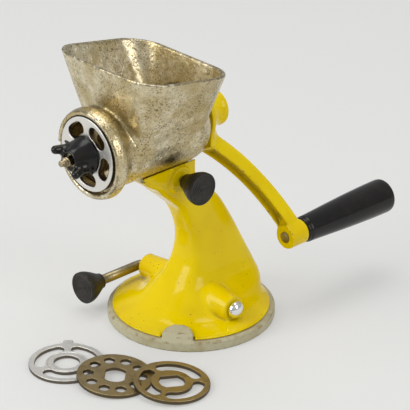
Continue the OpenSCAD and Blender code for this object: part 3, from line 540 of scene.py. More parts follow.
# The stand
STAND_FOOT = BOXES["stand"][0][2]
FLANGE_R = BOXES["stand"][1][0]
SADDLE_TOP = AXIS_Z - 23.0
SADDLE_FRONT = -BOXES["stand"][0][0]
SADDLE_BACK = 6.0
WAIST_R = 12.0
SADDLE_R = 14.5
SEAT_Z = BOXES["barrel_casting"][0][2] + 10.0
# The skirt: rise over the foot, insets from the flange's edge at front, rear and sides, and squareness
SKIRT_ROWS = [
    (0, 0, 0, 0, 2),
    (1.6, 0.2, 0.2, 0.2, 2),
    (3.4, 7.5, 1, 7, 2),
    (5.5, 14, 1.4, 13.5, 2.1),
    (8.5, 19.4, 1.5, 19, 2.3),
    (12, 24, 1.6, 23.5, 2.6),
    (16, 28.8, 2.4, 28.5, 3),
    (21, 34, 4.6, 33.5, 3.6),
]
# The neck: part of the stand's rise, reach to the front, reach to the rear, half width and squareness
NECK_ROWS = [
    (0.231, 15.6, 46.9, WAIST_R + 5, 4),
    (0.299, 10.4, 42.7, WAIST_R + 3, 4.4),
    (0.402, 7.5, 36.7, WAIST_R + 1, 4.8),
    (0.516, 8.4, 29.6, WAIST_R, 5),
    (0.658, 15.2, 19.4, WAIST_R, 5),
    (0.7385, 24.1, 11.4, mix(WAIST_R, SADDLE_R, 0.2), 5),
    (0.795, 31.5, 3.8, mix(WAIST_R, SADDLE_R, 0.5), 5),
    (0.858, SADDLE_FRONT - 16.2, -SADDLE_BACK + 3, mix(WAIST_R, SADDLE_R, 0.8), 5.5),
    (0.915, SADDLE_FRONT - 7, -SADDLE_BACK, SADDLE_R, 6.5),
    (1, SADDLE_FRONT, -SADDLE_BACK, SADDLE_R, 8),
]
# Height, reaches to front and rear, half width and squareness of all the stand's sections
STAND_ROWS = [
    *((STAND_FOOT + rise, FLANGE_R - front, FLANGE_R - rear, FLANGE_R - side, square)
      for rise, front, rear, side, square in SKIRT_ROWS),
    *((mix(STAND_FOOT, SADDLE_TOP, part), *section) for part, *section in NECK_ROWS),
]
BOSS_FACE = -BOXES["shaft_cap"][1][1] - 0.3
BOSS_ROOT = BOSS_FACE - 22.0
BOSS_ROOT_R, BOSS_FACE_R = 11.0, 8.5
BOSS_FILLET = 3.2
# The lever's boss is longer than the cap's
LEVER_BOSS = 3.0
# Room round the cap and the rod, beyond the bosses' faces
BOSS_ROOM_R = 8.0
CLAMP_ROOT = 5.0
CLAMP_FACE = -BOXES["clamp_knob"][1][1] - 0.6
CLAMP_BOSS_R = 9.0
# Seat for the barrel's foot, and slot below it for the tongue: ends along X, half width, and depth
SEAT_ENDS = (-120.0, -13.3)
SEAT_HALF = 11.2
SLOT_ENDS = (-34.7, -13.3)
SLOT_HALF = 8.2
SLOT_DEPTH = 10.2
SADDLE_BORE_R = 27.8
# A height above the stand, to which its cuts run
OVERHEAD = 200.0
# Height and radius of the hollow under the stand
HOLLOW_ROWS = np.array([(6, 46), (7.4, 46), (9.6, 39), (12.4, 33), (15.6, 28), (19.6, 22.6), (24.5, 17),
                        (30.1, 13.4), (32.1, 9.4)])
# The pull tab: direction in plan, radius of its bend, half width, reach inwards and room at back and sides
TAB_ANGLE = np.radians(217.5)
TAB_FOOT = FLANGE_R - 2.4
TAB_HALF = 10.5
TAB_REACH = 8.0
TAB_ROOM = (0.3, 0.8)


def neck_field(p):
    """Superelliptic sections whose reaches, width and squareness flow along the height."""
    x, y, z = np.moveaxis(p, -1, 0)
    front, back, half, square = flow(STAND_ROWS, z)
    u = np.abs(x - (back - front) / 2) / ((back + front) / 2)
    v = np.abs(y) / half
    q = np.maximum((u**square + v**square) ** (1 / square), 1e-3)
    return np.hypot(x - (back - front) / 2, y) * (1 - 1 / q)


def tab_frame(p):
    """Distance from the middle, distance along and across the pull tab's direction, and height."""
    x, y, z = np.moveaxis(p, -1, 0)
    along = x * np.cos(TAB_ANGLE) + y * np.sin(TAB_ANGLE)
    return np.hypot(x, y), along, y * np.cos(TAB_ANGLE) - x * np.sin(TAB_ANGLE), z


def stand_field(p):
    """The neck with shaft bosses and a clamp boss, less its seats, the barrel, its hollow and a notch."""
    x, y, z = np.moveaxis(p, -1, 0)
    side = np.abs(y)
    shaft_r = np.hypot(x, z - LEVER_Z)
    boss_r = mix(BOSS_ROOT_R, BOSS_FACE_R, ramp(BOSS_ROOT, BOSS_FACE, side))
    face = np.where(y > 0, BOSS_FACE + LEVER_BOSS, BOSS_FACE)
    bosses = both(shaft_r - boss_r, np.maximum(BOSS_ROOT - side, side - face), 0.9)
    body = either(true_distance(neck_field, p), bosses, BOSS_FILLET)
    clamp = rod(x - CLAMP_X, z - CLAMP_Z, -y, CLAMP_BOSS_R, CLAMP_ROOT, CLAMP_FACE, 0.8)
    body = either(body, clamp, 2.5)
    body = both(body, np.maximum(STAND_FOOT - z, z - SADDLE_TOP), 0.9)
    body = less(body, both(shaft_r - BOSS_ROOM_R, face - side, 0.3), 1.0)
    seat = block(p, (SEAT_ENDS[0], -SEAT_HALF, SEAT_Z), (SEAT_ENDS[1], SEAT_HALF, OVERHEAD))
    body = less(body, seat, 0.7)
    slot = block(p, (SLOT_ENDS[0], -SLOT_HALF, SEAT_Z - SLOT_DEPTH), (SLOT_ENDS[1], SLOT_HALF, OVERHEAD))
    body = less(body, slot, 0.4)
    body = less(body, np.hypot(y, z - AXIS_Z) - SADDLE_BORE_R, 0.4)
    hollow_r = np.interp(z, HOLLOW_ROWS[:, 0], HOLLOW_ROWS[:, 1])
    r, along, across, _ = tab_frame(p)
    body = less(body, np.maximum((r - hollow_r) * 0.6, z - HOLLOW_ROWS[-1, 0]), 0.4)
    room = np.maximum(TAB_FOOT - TAB_ROOM[0] - r, np.abs(across) - TAB_HALF - TAB_ROOM[1])
    notch = np.maximum(room, -along)
    return less(body, notch, 0.8)


# The pad: a turned disc with a pull tab that comes up through the notch and lies in over the skirt
PAD_R = BOXES["suction_pad"][1][0]
PAD_WEB = 3.0
WEB_R = 50.0
# Inner radius of the rim at the web, and how fast it widens upwards
CUP_R = 46.0
CUP_FLARE = 0.75
# The flap: half its thickness, its rise over the stand's foot and its slope inwards
FLAP_HALF = 1.0
FLAP_RISE = 2.4
FLAP_SLOPE = 0.3
# The riser from the rim to the flap: heights with its outer radii, and its ends
RISER_ROWS = ((6, 9.2, 11.4), (56.9, 54.8, 52.6))
RISER_LOW, RISER_TOP = 5.0, 11.3


def pad_field(p):
    """A disc with a raised round-shouldered rim, and a flap that rises inwards to a round end."""
    r, along, across, z = tab_frame(p)
    rim = both(both(r - PAD_R, z - STAND_FOOT, 1.6), CUP_R + (z - PAD_WEB) * CUP_FLARE - r, 0.8)
    disc = both(np.minimum(rim, both(r - WEB_R, z - PAD_WEB, 0.3)), -z, 0.5)
    low = STAND_FOOT + FLAP_RISE + (TAB_FOOT - r) * FLAP_SLOPE
    ends = np.maximum(TAB_FOOT - TAB_REACH - r, r - TAB_FOOT - 1)
    flap = both(np.abs(z - low - FLAP_HALF) - FLAP_HALF, ends, 0.6)
    outer = np.interp(z, *RISER_ROWS)
    riser = both(np.maximum(TAB_FOOT - r, r - outer), np.maximum(RISER_LOW - z, z - RISER_TOP), 0.6)
    reach = 0.9 * TAB_HALF
    inner = np.minimum(along - TAB_FOOT + TAB_REACH - reach, 0) / reach
    plan = (np.hypot(inner, across / TAB_HALF) - 1) * TAB_HALF
    tab = both(either(flap, riser, 1.0), np.maximum(plan, -along), 0.7)
    return either(disc, tab, 1.2)


# The barrel and hopper
OUTLET = BOXES["barrel_casting"][0][0]
REAR = -1.0
# Place along X and radius of the barrel's outside
BARREL_ROWS = [(OUTLET, 28.3), (OUTLET + 1.5, 28.7), (OUTLET + 4.4, 29.5), (OUTLET + 7.4, 29.3),
               (OUTLET + 10, 28.2), (OUTLET + 14, 27.05), (OUTLET + 20, 27), (-30, 27), (-13, 27),
               (-7, 25.6), (-3, 22.6), (REAR, 18.4)]
# The mould's shift, which set the lip off the bore's middle, to -Y and down, and the lip's swell
LIP_DROP = (0.9, 0.5)
LIP_SWELL = 1.1
# The bore and its rear end, the rear journal, and the cutters' seat with its notch for a tab
BORE_R = 23.5
BORE_END = -9
JOURNAL_R = 8.06
SEAT_R = 26.4
SEAT_DEPTH = 5.4
NOTCH_HALF = 3.5
NOTCH_TURN = np.radians(-8)
# The hopper's reaches and half width, and its corners' radii, each at its throat and at its rim
HOPPER_FRONT = (71, 84.5)
HOPPER_SHOULDER = (67, 76)
HOPPER_BACK = (10.2, 0.7)
HOPPER_HALF = (26.2, 48)
FRONT_CORNER = (8, 14.5)
REAR_CORNER = (8, 22)
# Radius of the crease down the front, and the wall
CREASE_R = 12.0
HOPPER_WALL = 3.0
# The rim's rise over the axis at a place along X, and its slope there
RIM_RISE = 51.4
RIM_AT = -45
RIM_SLOPE = 0.18
# Heights of the throat outside and inside, and of the hopper's end in the barrel
THROAT_Z = AXIS_Z - 2
FUNNEL_Z = AXIS_Z + 5
HOPPER_END = AXIS_Z - 14
# The hopper's fillet on the barrel, and the heights between which it grows
HOPPER_FILLET = 3.5
FILLET_ENDS = (AXIS_Z - 9, AXIS_Z + 1)
# The foot on the saddle and the tongue below it: ends along X, half width, and depth
FOOT_ENDS = (-52.4, -14.1)
FOOT_HALF = 10.4
TONGUE_ENDS = (-34, -14)
TONGUE_HALF = 7.5
TONGUE_DEPTH = 9.5


def hopper_field(x, y, z, wall, low):
    """A tapered five-sided funnel with a creased front, drawn in by a wall, and the height over its rim.

    It goes from a low height to the sloping rim. The factors bring the sloping sides' values to distances.
    """
    rim = AXIS_Z + RIM_RISE - RIM_SLOPE * (x - RIM_AT)
    t = np.clip((z - low) / (rim - low), -0.3, 1.4)
    front = mix(*HOPPER_FRONT, t) - wall
    shoulder = mix(*HOPPER_SHOULDER, t) - wall
    back = mix(*HOPPER_BACK, t) + wall
    half = mix(*HOPPER_HALF, t) - wall
    step = front - shoulder
    long = np.hypot(step, half)
    near = (-(x + front) * half + y * step) / long
    far = (-(x + front) * half - y * step) / long
    sides = both(both(near, far, CREASE_R), np.abs(y) - half, mix(*FRONT_CORNER, t) - wall)
    return both(sides, x + back, mix(*REAR_CORNER, t) - wall) * 0.92, (z - rim) * 0.98


def casting_field(p):
    """A barrel with a lip, a hopper and a foot blended on, hollowed by bore, seat, notch and funnel."""
    x, y, z = np.moveaxis(p, -1, 0)
    r = np.hypot(y, z - AXIS_Z)
    (barrel_r,) = flow(BARREL_ROWS, x)
    lip = 1 - ramp(OUTLET + 7, OUTLET + 15, x)
    lip_r = np.hypot(y + LIP_DROP[0] * lip, z - AXIS_Z + LIP_DROP[1] * lip)
    barrel = both((lip_r - barrel_r - LIP_SWELL * lip) * 0.95, np.maximum(OUTLET - x, x - REAR), 0.8)
    shell, over_rim = hopper_field(x, y, z, 0.0, THROAT_Z)
    hopper = both(np.maximum(shell, HOPPER_END - z), over_rim, 1.3)
    outer = either(barrel, hopper, mix(0.05, HOPPER_FILLET, ramp(*FILLET_ENDS, z)))
    foot = block(p, (FOOT_ENDS[0], -FOOT_HALF, SEAT_Z + 0.6), (FOOT_ENDS[1], FOOT_HALF, AXIS_Z - 22)) - 0.6
    tongue_low = (TONGUE_ENDS[0], -TONGUE_HALF, SEAT_Z - TONGUE_DEPTH)
    tongue = block(p, tongue_low, (TONGUE_ENDS[1], TONGUE_HALF, SEAT_Z + 2)) - 0.5
    outer = np.minimum(either(outer, foot, 2.5), tongue)
    funnel, _ = hopper_field(x, y, z, HOPPER_WALL, FUNNEL_Z)
    bore = np.maximum(r - BORE_R, np.maximum(OUTLET - 2 - x, x - BORE_END))
    inner = either(np.maximum(funnel, FUNNEL_Z - z), bore, 2.0)
    seat = np.maximum(lip_r - SEAT_R, x - OUTLET - SEAT_DEPTH)
    up = (z - AXIS_Z) * np.cos(NOTCH_TURN) - y * np.sin(NOTCH_TURN)
    notch = np.maximum(np.maximum(np.abs(up) - NOTCH_HALF, x - OUTLET - SEAT_DEPTH), -y)
    inner = np.minimum(np.minimum(inner, seat), np.minimum(r - JOURNAL_R, notch))
    return less(outer, inner, 1.1)


# The crank, in a frame with the axis along X and the arm straight down
HUB_X = BOXES["crank_arm"][0][0]
HUB_REAR = BOXES["crank_washer"][0][0]
END_X = BOXES["grip_spindle"][0][0] + 1.2
END_R = 8.5
END_FACE = END_X + 15
# Place along X and radius of the hub
HUB_ROWS = [(HUB_X, 19.0), (HUB_X + 3, 19.0), (HUB_X + 5.1, 16.2), (HUB_X + 8.4, 13.7),
            (HUB_X + 12.2, 12.3), (HUB_X + 15.8, 12.0), (HUB_X + 18.6, 12.6), (HUB_REAR, 12.4)]
# Start, control point and end of the arm's bow, its half widths at its root and beyond, and its depth
ARM_START = np.array([HUB_X + 2.2, -18.6])
ARM_BOW = np.array([37.4, -47.6])
ARM_END = np.array([END_X + 8, 3 - CRANK_R])
ARM_HALVES = (7.5, 6.2)
ARM_DEPTH = 9.2
ARM_CROWN = 1.7
ARM_FILLET = 8.0
CHANNEL_DEPTH = 4.4
CHANNEL_WALL = 1.8
# Parts of the bow along which the channel deepens and runs out
CHANNEL_START = (0.05, 0.15)
CHANNEL_STOP = (0.87, 0.95)
# Points on the bow, and how many places are measured against them at once
BOW_POINTS = 160
BATCH = 40000


def crank_field(p):
    """A trumpet hub, a bowed arm with a channel on its inner side, and an end boss, filleted together."""
    x, y, z = np.moveaxis(p, -1, 0)
    (hub_r,) = flow(HUB_ROWS, x)
    hub = both((np.hypot(y, z) - hub_r) * 0.9, np.maximum(HUB_X - x, x - HUB_REAR), 0.9)
    t = np.linspace(-0.12, 1, BOW_POINTS)
    path = (np.outer((1 - t) ** 2, ARM_START) + np.outer(2 * t * (1 - t), ARM_BOW)
            + np.outer(t**2, ARM_END))
    way = np.gradient(path, axis=0)
    way /= np.linalg.norm(way, axis=1)[:, None]
    flat = np.stack([x.ravel(), z.ravel()], 1)
    parts = np.array_split(flat, max(len(flat) // BATCH, 1))
    nearest = [((part[:, None] - path[None]) ** 2).sum(2).argmin(1) for part in parts]
    near = np.concatenate(nearest).reshape(x.shape)
    dx, dz = x - path[near, 0], z - path[near, 1]
    along = dx * way[near, 0] + dz * way[near, 1]
    inner = dx * way[near, 1] - dz * way[near, 0]
    half = mix(*ARM_HALVES, ramp(0, 0.5, t[near]))
    beyond = np.maximum(np.abs(along) - 1.0, 0) * np.isin(near, (0, len(t) - 1))
    side = np.abs(y) - half
    bar = both(side, -inner - ARM_DEPTH / 2 - ARM_CROWN, 3.8)
    bar = both(bar, inner - ARM_DEPTH / 2, 0.8) + beyond
    depth = CHANNEL_DEPTH * ramp(*CHANNEL_START, t[near]) * (1 - ramp(*CHANNEL_STOP, t[near]))
    channel = both(side + CHANNEL_WALL, ARM_DEPTH / 2 - depth - inner, 1.2)
    bar = less(bar, channel, 0.6)
    boss = rod(y, z + CRANK_R, x, END_R, END_X, END_FACE, 0.8)
    crank = either(either(hub, bar, ARM_FILLET), boss, 2.5)
    return both(crank, np.maximum(HUB_X - x, x - END_FACE), 0.6)


CRANK_PLACE = (
    np.array([[1, 0, 0], [0, np.cos(CRANK_ANGLE), np.sin(CRANK_ANGLE)],
              [0, -np.sin(CRANK_ANGLE), np.cos(CRANK_ANGLE)]]),
    np.array([0, 0, AXIS_Z]),
)


# The wing nut, in a frame with Z along the thread, outwards
FACING_OUT = np.array([[0.0, 0, -1], [0, 1, 0], [1, 0, 0]])
NUT_PLACE = (FACING_OUT, np.array([BOXES["wing_nut"][1][0], 0, AXIS_Z]))
NUT_L = 14.5
# Place along the thread and radius of the cone
NUT_ROWS = [(0, 13), (1.4, 13), (2.9, 12.4), (7.2, 10.5), (11.6, 8.2), (NUT_L, 7.0)]
SOCKET_R = 5.3
EAR_TURN = np.radians(61)
# Foot and tip, each out and forwards, and the radii there
EAR = ((8.0, 6.5), (11.2, 17.2), 3.6, 2.8)
SPUR = ((9.0, 4.5), (14.6, 6.2), 1.8, 0.8)


def nut_field(p):
    """A cone with two ears that lean out and forwards, a small spur behind each, and a round socket."""
    x, y, z = np.moveaxis(p, -1, 0)
    (cone_r,) = flow(NUT_ROWS, z)
    r = np.hypot(x, y)
    nut = both((r - cone_r) * 0.9, np.maximum(-z, z - NUT_L), 0.8)
    u = x * np.cos(EAR_TURN) + y * np.sin(EAR_TURN)
    v = y * np.cos(EAR_TURN) - x * np.sin(EAR_TURN)
    nut = either(nut, horn_field(np.abs(u), v, z, *EAR), 2.6)
    nut = either(nut, horn_field(np.abs(u), v, z, *SPUR), 1.0)
    return less(nut, r - SOCKET_R, 0.6)


def horn_field(u, v, z, foot, tip, foot_r, tip_r):
    """A round bar between a foot and a tip, each out and forwards, whose radius goes evenly between."""
    foot, run = np.array(foot), np.subtract(tip, foot)
    t = np.clip(((u - foot[0]) * run[0] + (z - foot[1]) * run[1]) / (run @ run), 0, 1)
    out, forwards = u - foot[0] - t * run[0], z - foot[1] - t * run[1]
    return np.sqrt(out**2 + v**2 + forwards**2) - mix(foot_r, tip_r, t)


# Cutters, in a frame with Z through their thickness
CUTTER_R = BOXES["cutting_plate"][1][1]
CUTTER_T = 2.6
SLOT_RING = 17.5
# The middle: its radius, and half its width across the flats
MIDDLE_R = 8.56
MIDDLE_HALF = 6.56
# The tabbed cutter: half width and reach of its tab, and radius of its groove
TABBED_HALF = 3.3
TABBED_REACH = 29.4
GROOVE_R = 12.4
# Numbers of slots, their sweep in degrees, their width, and the turn of the first
KIDNEY_SLOTS = (5, 25, 8.8, np.pi)
COARSE_SLOTS = (3, 84, 7.6, np.radians(25))
TABBED_SLOTS = (3, 79, 7.6, np.pi / 3)
# Number and radius of the medium plate's holes
MEDIUM_HOLES = (10, 3.5)


def plate_field(holes):
    """A disc with worn edges and a double-D middle, less the given holes."""
    def field(p):
        x, y, z = np.moveaxis(p, -1, 0)
        disc = both(np.hypot(x, y) - CUTTER_R, np.abs(z - CUTTER_T / 2) - CUTTER_T / 2, 0.4)
        middle = np.maximum(np.hypot(x, y) - MIDDLE_R, np.abs(x) - MIDDLE_HALF)
        return less(less(disc, holes(x, y), 0.35), middle, 0.3)
    return field


def turned_slots(count, sweep, width, start):
    """Kidney slots evenly round the middle."""
    def holes(x, y):
        slots = []
        for a in start + 2 * np.pi * np.arange(count) / count:
            u, v = x * np.cos(a) + y * np.sin(a), y * np.cos(a) - x * np.sin(a)
            slots.append(slot_arc(u, v, SLOT_RING, width, sweep))
        return np.min(slots, axis=0)
    return holes


def ring_holes(count, radius):
    """Round holes evenly round the middle."""
    def holes(x, y):
        angles = 2 * np.pi * np.arange(count) / count
        middles = [(SLOT_RING * np.cos(a), SLOT_RING * np.sin(a)) for a in angles]
        return np.min([np.hypot(x - u, y - v) - radius for u, v in middles], axis=0)
    return holes


def tabbed_field(p):
    """A ring with a tab, three arc slots, a round middle and a shallow groove round it."""
    x, y, z = np.moveaxis(p, -1, 0)
    r = np.hypot(x, y)
    tab = np.maximum(both(np.abs(y) - TABBED_HALF, x - TABBED_REACH, 1.8), -x)
    outline = np.minimum(r - CUTTER_R, tab)
    ring = both(outline, np.abs(z - CUTTER_T / 2) - CUTTER_T / 2, 0.4)
    ring = less(ring, turned_slots(*TABBED_SLOTS)(x, y), 0.35)
    ring = less(ring, r - MIDDLE_R, 0.4)
    return less(ring, np.hypot(r - GROOVE_R, z - CUTTER_T - 0.25) - 0.5, 0.2)


def euler_turn(z_turn, y_turn):
    """Turn about Y, then about Z, in degrees."""
    a, b = np.radians(z_turn), np.radians(y_turn)
    about_y = np.array([[np.cos(b), 0, np.sin(b)], [0, 1, 0], [-np.sin(b), 0, np.cos(b)]])
    about_z = np.array([[np.cos(a), -np.sin(a), 0], [np.sin(a), np.cos(a), 0], [0, 0, 1]])
    return about_z @ about_y


# Middle of the flat spare cutter and its turn, then the distance and directions to the raised ones
SPARE_AT = np.array([-110.4, 1.2])
FLAT_TURN = 48
SPARE_PITCH = 38.0
SPARE_TURNS = (-74.0, -56.0)
# Gaps left under the raised cutters
SPARE_GAPS = (0.15, 0.3)
# How far each raised cutter is turned about its own middle, in degrees
SPARE_SPINS = (27.5, -60.0)


def spare_places():
    """Where the spare cutters lie: the first flat, the others with one side raised on the one before."""
    places = [(euler_turn(FLAT_TURN, 0), np.array([*SPARE_AT, 0]))]
    at = SPARE_AT
    lifts = [CUTTER_T + SPARE_GAPS[0]]
    tilt = np.arctan(lifts[0] / SPARE_PITCH)
    bend = np.radians(SPARE_TURNS[1] - SPARE_TURNS[0])
    lifts.append(CUTTER_T + SPARE_GAPS[1] + CUTTER_R * np.sin(tilt) * (1 - np.cos(bend)))
    for turn, lift, spin in zip(SPARE_TURNS, lifts, SPARE_SPINS):
        way = np.radians(turn)
        at = at + SPARE_PITCH * np.array([np.cos(way), np.sin(way)])
        tilt = np.arctan(lift / SPARE_PITCH)
        lie = euler_turn(turn, np.degrees(tilt)) @ euler_turn(spin, 0)
        places.append((lie, np.array([*at, CUTTER_R * np.sin(tilt)])))
    return places


PLATE_PLACE = (FACING_OUT, np.array([BOXES["cutting_plate"][1][0], 0, AXIS_Z]))


# The worm
WORM_FRONT = BOXES["fixed_cutter"][1][0] + 0.3
WORM_REAR = -10.2
WORM_LEAD = 24.0
# Radii of the core at its ends, of the nose and shank, and of the flight, with half its thickness
CORE_RADII = (11, 13)
NOSE_R = 8.5
SHANK_R = 8.0
FLIGHT_R = 22.9
FLIGHT_HALVES = (3.0, 1.5)


def worm_field(p):
    """A tapered core with a left-hand flight that thins outwards, a nose and a round rear shank."""
    x, y, z = np.moveaxis(p, -1, 0)
    r = np.hypot(y, z - AXIS_Z)
    core_r = mix(*CORE_RADII, ramp(WORM_REAR, WORM_FRONT, x))
    core = both(r - core_r, np.maximum(WORM_FRONT - x, x - WORM_REAR), 0.6)
    # The nose and the shank each start inside the core
    nose = rod(y, z - AXIS_Z, x, NOSE_R, BOXES["feed_worm"][0][0], WORM_FRONT + 3, 0.5)
    shank = rod(y, z - AXIS_Z, x, SHANK_R, WORM_REAR - 1.8, BOXES["feed_worm"][1][0], 0.5)
    start = WORM_REAR - 3
    turn = np.arctan2(z - AXIS_Z, y) / (2 * np.pi)
    phase = (start - x) / WORM_LEAD - turn
    offset = (phase - np.round(phase)) * WORM_LEAD
    thick = mix(*FLIGHT_HALVES, ramp(12, FLIGHT_R, r))
    ends = np.maximum(WORM_FRONT + 0.2 - x, x - WORM_REAR)
    flight = both((np.abs(offset) - thick) * 0.95, r - FLIGHT_R, 0.6)
    worm = either(core, np.maximum(flight, ends), 2.0)
    return np.minimum(worm, np.minimum(nose, shank))


# Turned pieces

# The stud, the length of its plain tip, its sides and its rows a turn
STUD_R = 3.3
STUD_TIP = 2.2
STUD_SIDES = 48
STUD_ROWS = 16
# The rod with its bend, and the holes of the pieces on the rod and the screw
ROD_R = 3.4
ROD_BEND = 6.5
ROD_HOLE_R = 3.42
SCREW_HOLE_R = 3.02
# The knobs: radius, end of the hole and place of the foot's face
KNOB_R = 11.2
KNOB_HOLE_END = 11.0
KNOB_FOOT = 2.4
# The grip: bore, collar, largest radius before its shoulder, and the recess in its end
GRIP_BORE_R = 4.1
GRIP_COLLAR_R = 9.2
GRIP_R = 12.3
RECESS_R = 6.6
RECESS_DEPTH = 6
# The cap: radius, height of its edge and depth of its hole
CAP_R = 6
CAP_EDGE = 1.6
CAP_HOLE_END = 3.3


def knob_profile(length, hole_r, ring_gap, ring_depth):
    """Rows along and out from a knob's hole round its neck and flank to its face, which has fine rings."""
    bend = rounded([(KNOB_HOLE_END, 0), (KNOB_HOLE_END, hole_r), (KNOB_FOOT, hole_r), (KNOB_FOOT, 5.4),
                    (4.4, 5.6), (7.4, 7.2), (11.0, 9.2), (14.2, 10.6), (16.4, KNOB_R), (length, KNOB_R),
                    (length, 9.6)], 1.2)
    r = np.linspace(9.9, 0.0, 120)
    face = length - 0.1 - ring_depth * (0.5 - 0.5 * np.cos(2 * np.pi * r / ring_gap))
    return np.vstack([bend[:-1], np.stack([face, r], 1)]).T


def grip_profile(length):
    """Rows along and out round the grip: collar, slow swell, round shoulder, recess and bore."""
    along = np.linspace(0, 1, 60)
    swell_r = mix(GRIP_COLLAR_R, GRIP_R, np.sin(along * np.pi * 0.47) ** 1.15)
    swell = np.stack([3 + (length - 8) * along, swell_r], 1)
    head = rounded([(0, GRIP_BORE_R), (0, 8.0), (1.0, 8.7), (2.6, 8.8), (3, GRIP_COLLAR_R)], 0.5)
    recess = length - RECESS_DEPTH
    tail = rounded([(length - 5, swell[-1, 1]), (length - 2.0, 12.1), (length - 0.4, 10.2), (length, 8.4),
                    (length, RECESS_R), (recess, RECESS_R), (recess, GRIP_BORE_R), (0, GRIP_BORE_R)], 1.8)
    return np.vstack([head[:-1], swell, tail[1:]]).T


def dome_profile(height, hole_r):
    """Rows along and out from a cap's hole round its flat rim and over its dome."""
    a = np.linspace(0, np.pi / 2, 24)
    dome = np.stack([CAP_EDGE + (height - CAP_EDGE) * np.sin(a), CAP_R * np.cos(a)], 1)
    hole = [(CAP_HOLE_END, 0), (CAP_HOLE_END, hole_r), (0, hole_r), (0, CAP_R - 0.3), (0.4, CAP_R)]
    return np.vstack([hole, dome]).T


def thread_rows(length, radius, pitch, depth, tip, segments):
    """Rows along a screw, its radius round each and the depth of its groove.

    The radius is less a three-cornered wave of the turns, and steps down to a plain round-ended tip.
    """
    along = np.linspace(0, length, int(length / pitch * STUD_ROWS))
    turn = np.arange(segments) / segments
    wave = np.abs(2 * ((along[:, None] / pitch - turn) % 1) - 1)
    left = length - along[:, None]
    step = mix(radius * 0.62, radius, ramp(tip, tip + 0.8, left))
    nose = np.sqrt(np.maximum(left * (2 * radius - left), 0)) + 0.3 * radius
    screw = np.minimum(np.minimum(radius - depth * wave, step), nose)
    screw[[0, -1]] = 0
    return along, screw, np.where(left > tip, wave, 0.0)


def lever_path(radius, bend):
    """Centre line of the lever rod: along the shaft, round a quarter bend and forwards to the knob.

    Points within the straights keep the directions at the ends of the bend true.
    """
    side = BOXES["lever_shaft"][1][1] - radius
    near = BOXES["lever_shaft"][0][1]
    front = BOXES["lever_shaft"][0][0]
    a = np.linspace(0, np.pi / 2, 16)
    shaft = np.array([[0, near, LEVER_Z], [0, -30, LEVER_Z], [0, 30, LEVER_Z]])
    turn = np.stack([-bend + bend * np.cos(a), side - bend + bend * np.sin(a), np.full(16, LEVER_Z)], 1)
    reach = np.array([[-20, side, LEVER_Z], [front, side, LEVER_Z]])
    return np.vstack([shaft, turn, reach])


def swept(path, radius, segments=40):
    """A round bar of a radius along a level path, closed at both ends."""
    way = np.gradient(path, axis=0)
    way /= np.linalg.norm(way, axis=1)[:, None]
    angle = np.linspace(0, 2 * np.pi, segments, endpoint=False)
    across = np.cross(way, [0.0, 0, 1])
    ring = np.cos(angle)[:, None] * across[:, None] + np.sin(angle)[:, None] * np.array([0.0, 0, 1])
    tube = path[:, None] + radius * ring
    ends = [np.broadcast_to(path[i], (1, segments, 3)) for i in (0, -1)]
    return np.concatenate([ends[0], tube, ends[1]]).reshape(-1, 3), grid_quads(len(path) + 2, segments)


# Sizes and colours that a user may change


def length_of(name, description, millimetres):
    """A length property with a default in millimetres."""
    return FloatProperty(name=name, description=description, default=millimetres * MM, min=0.0,
                         unit="LENGTH")


def colour_of(name, description, hex_code):
    """A colour property with an sRGB default."""
    return FloatVectorProperty(name=name, description=description, default=linear(hex_code), size=4,
                               min=0, max=1, subtype="COLOR")


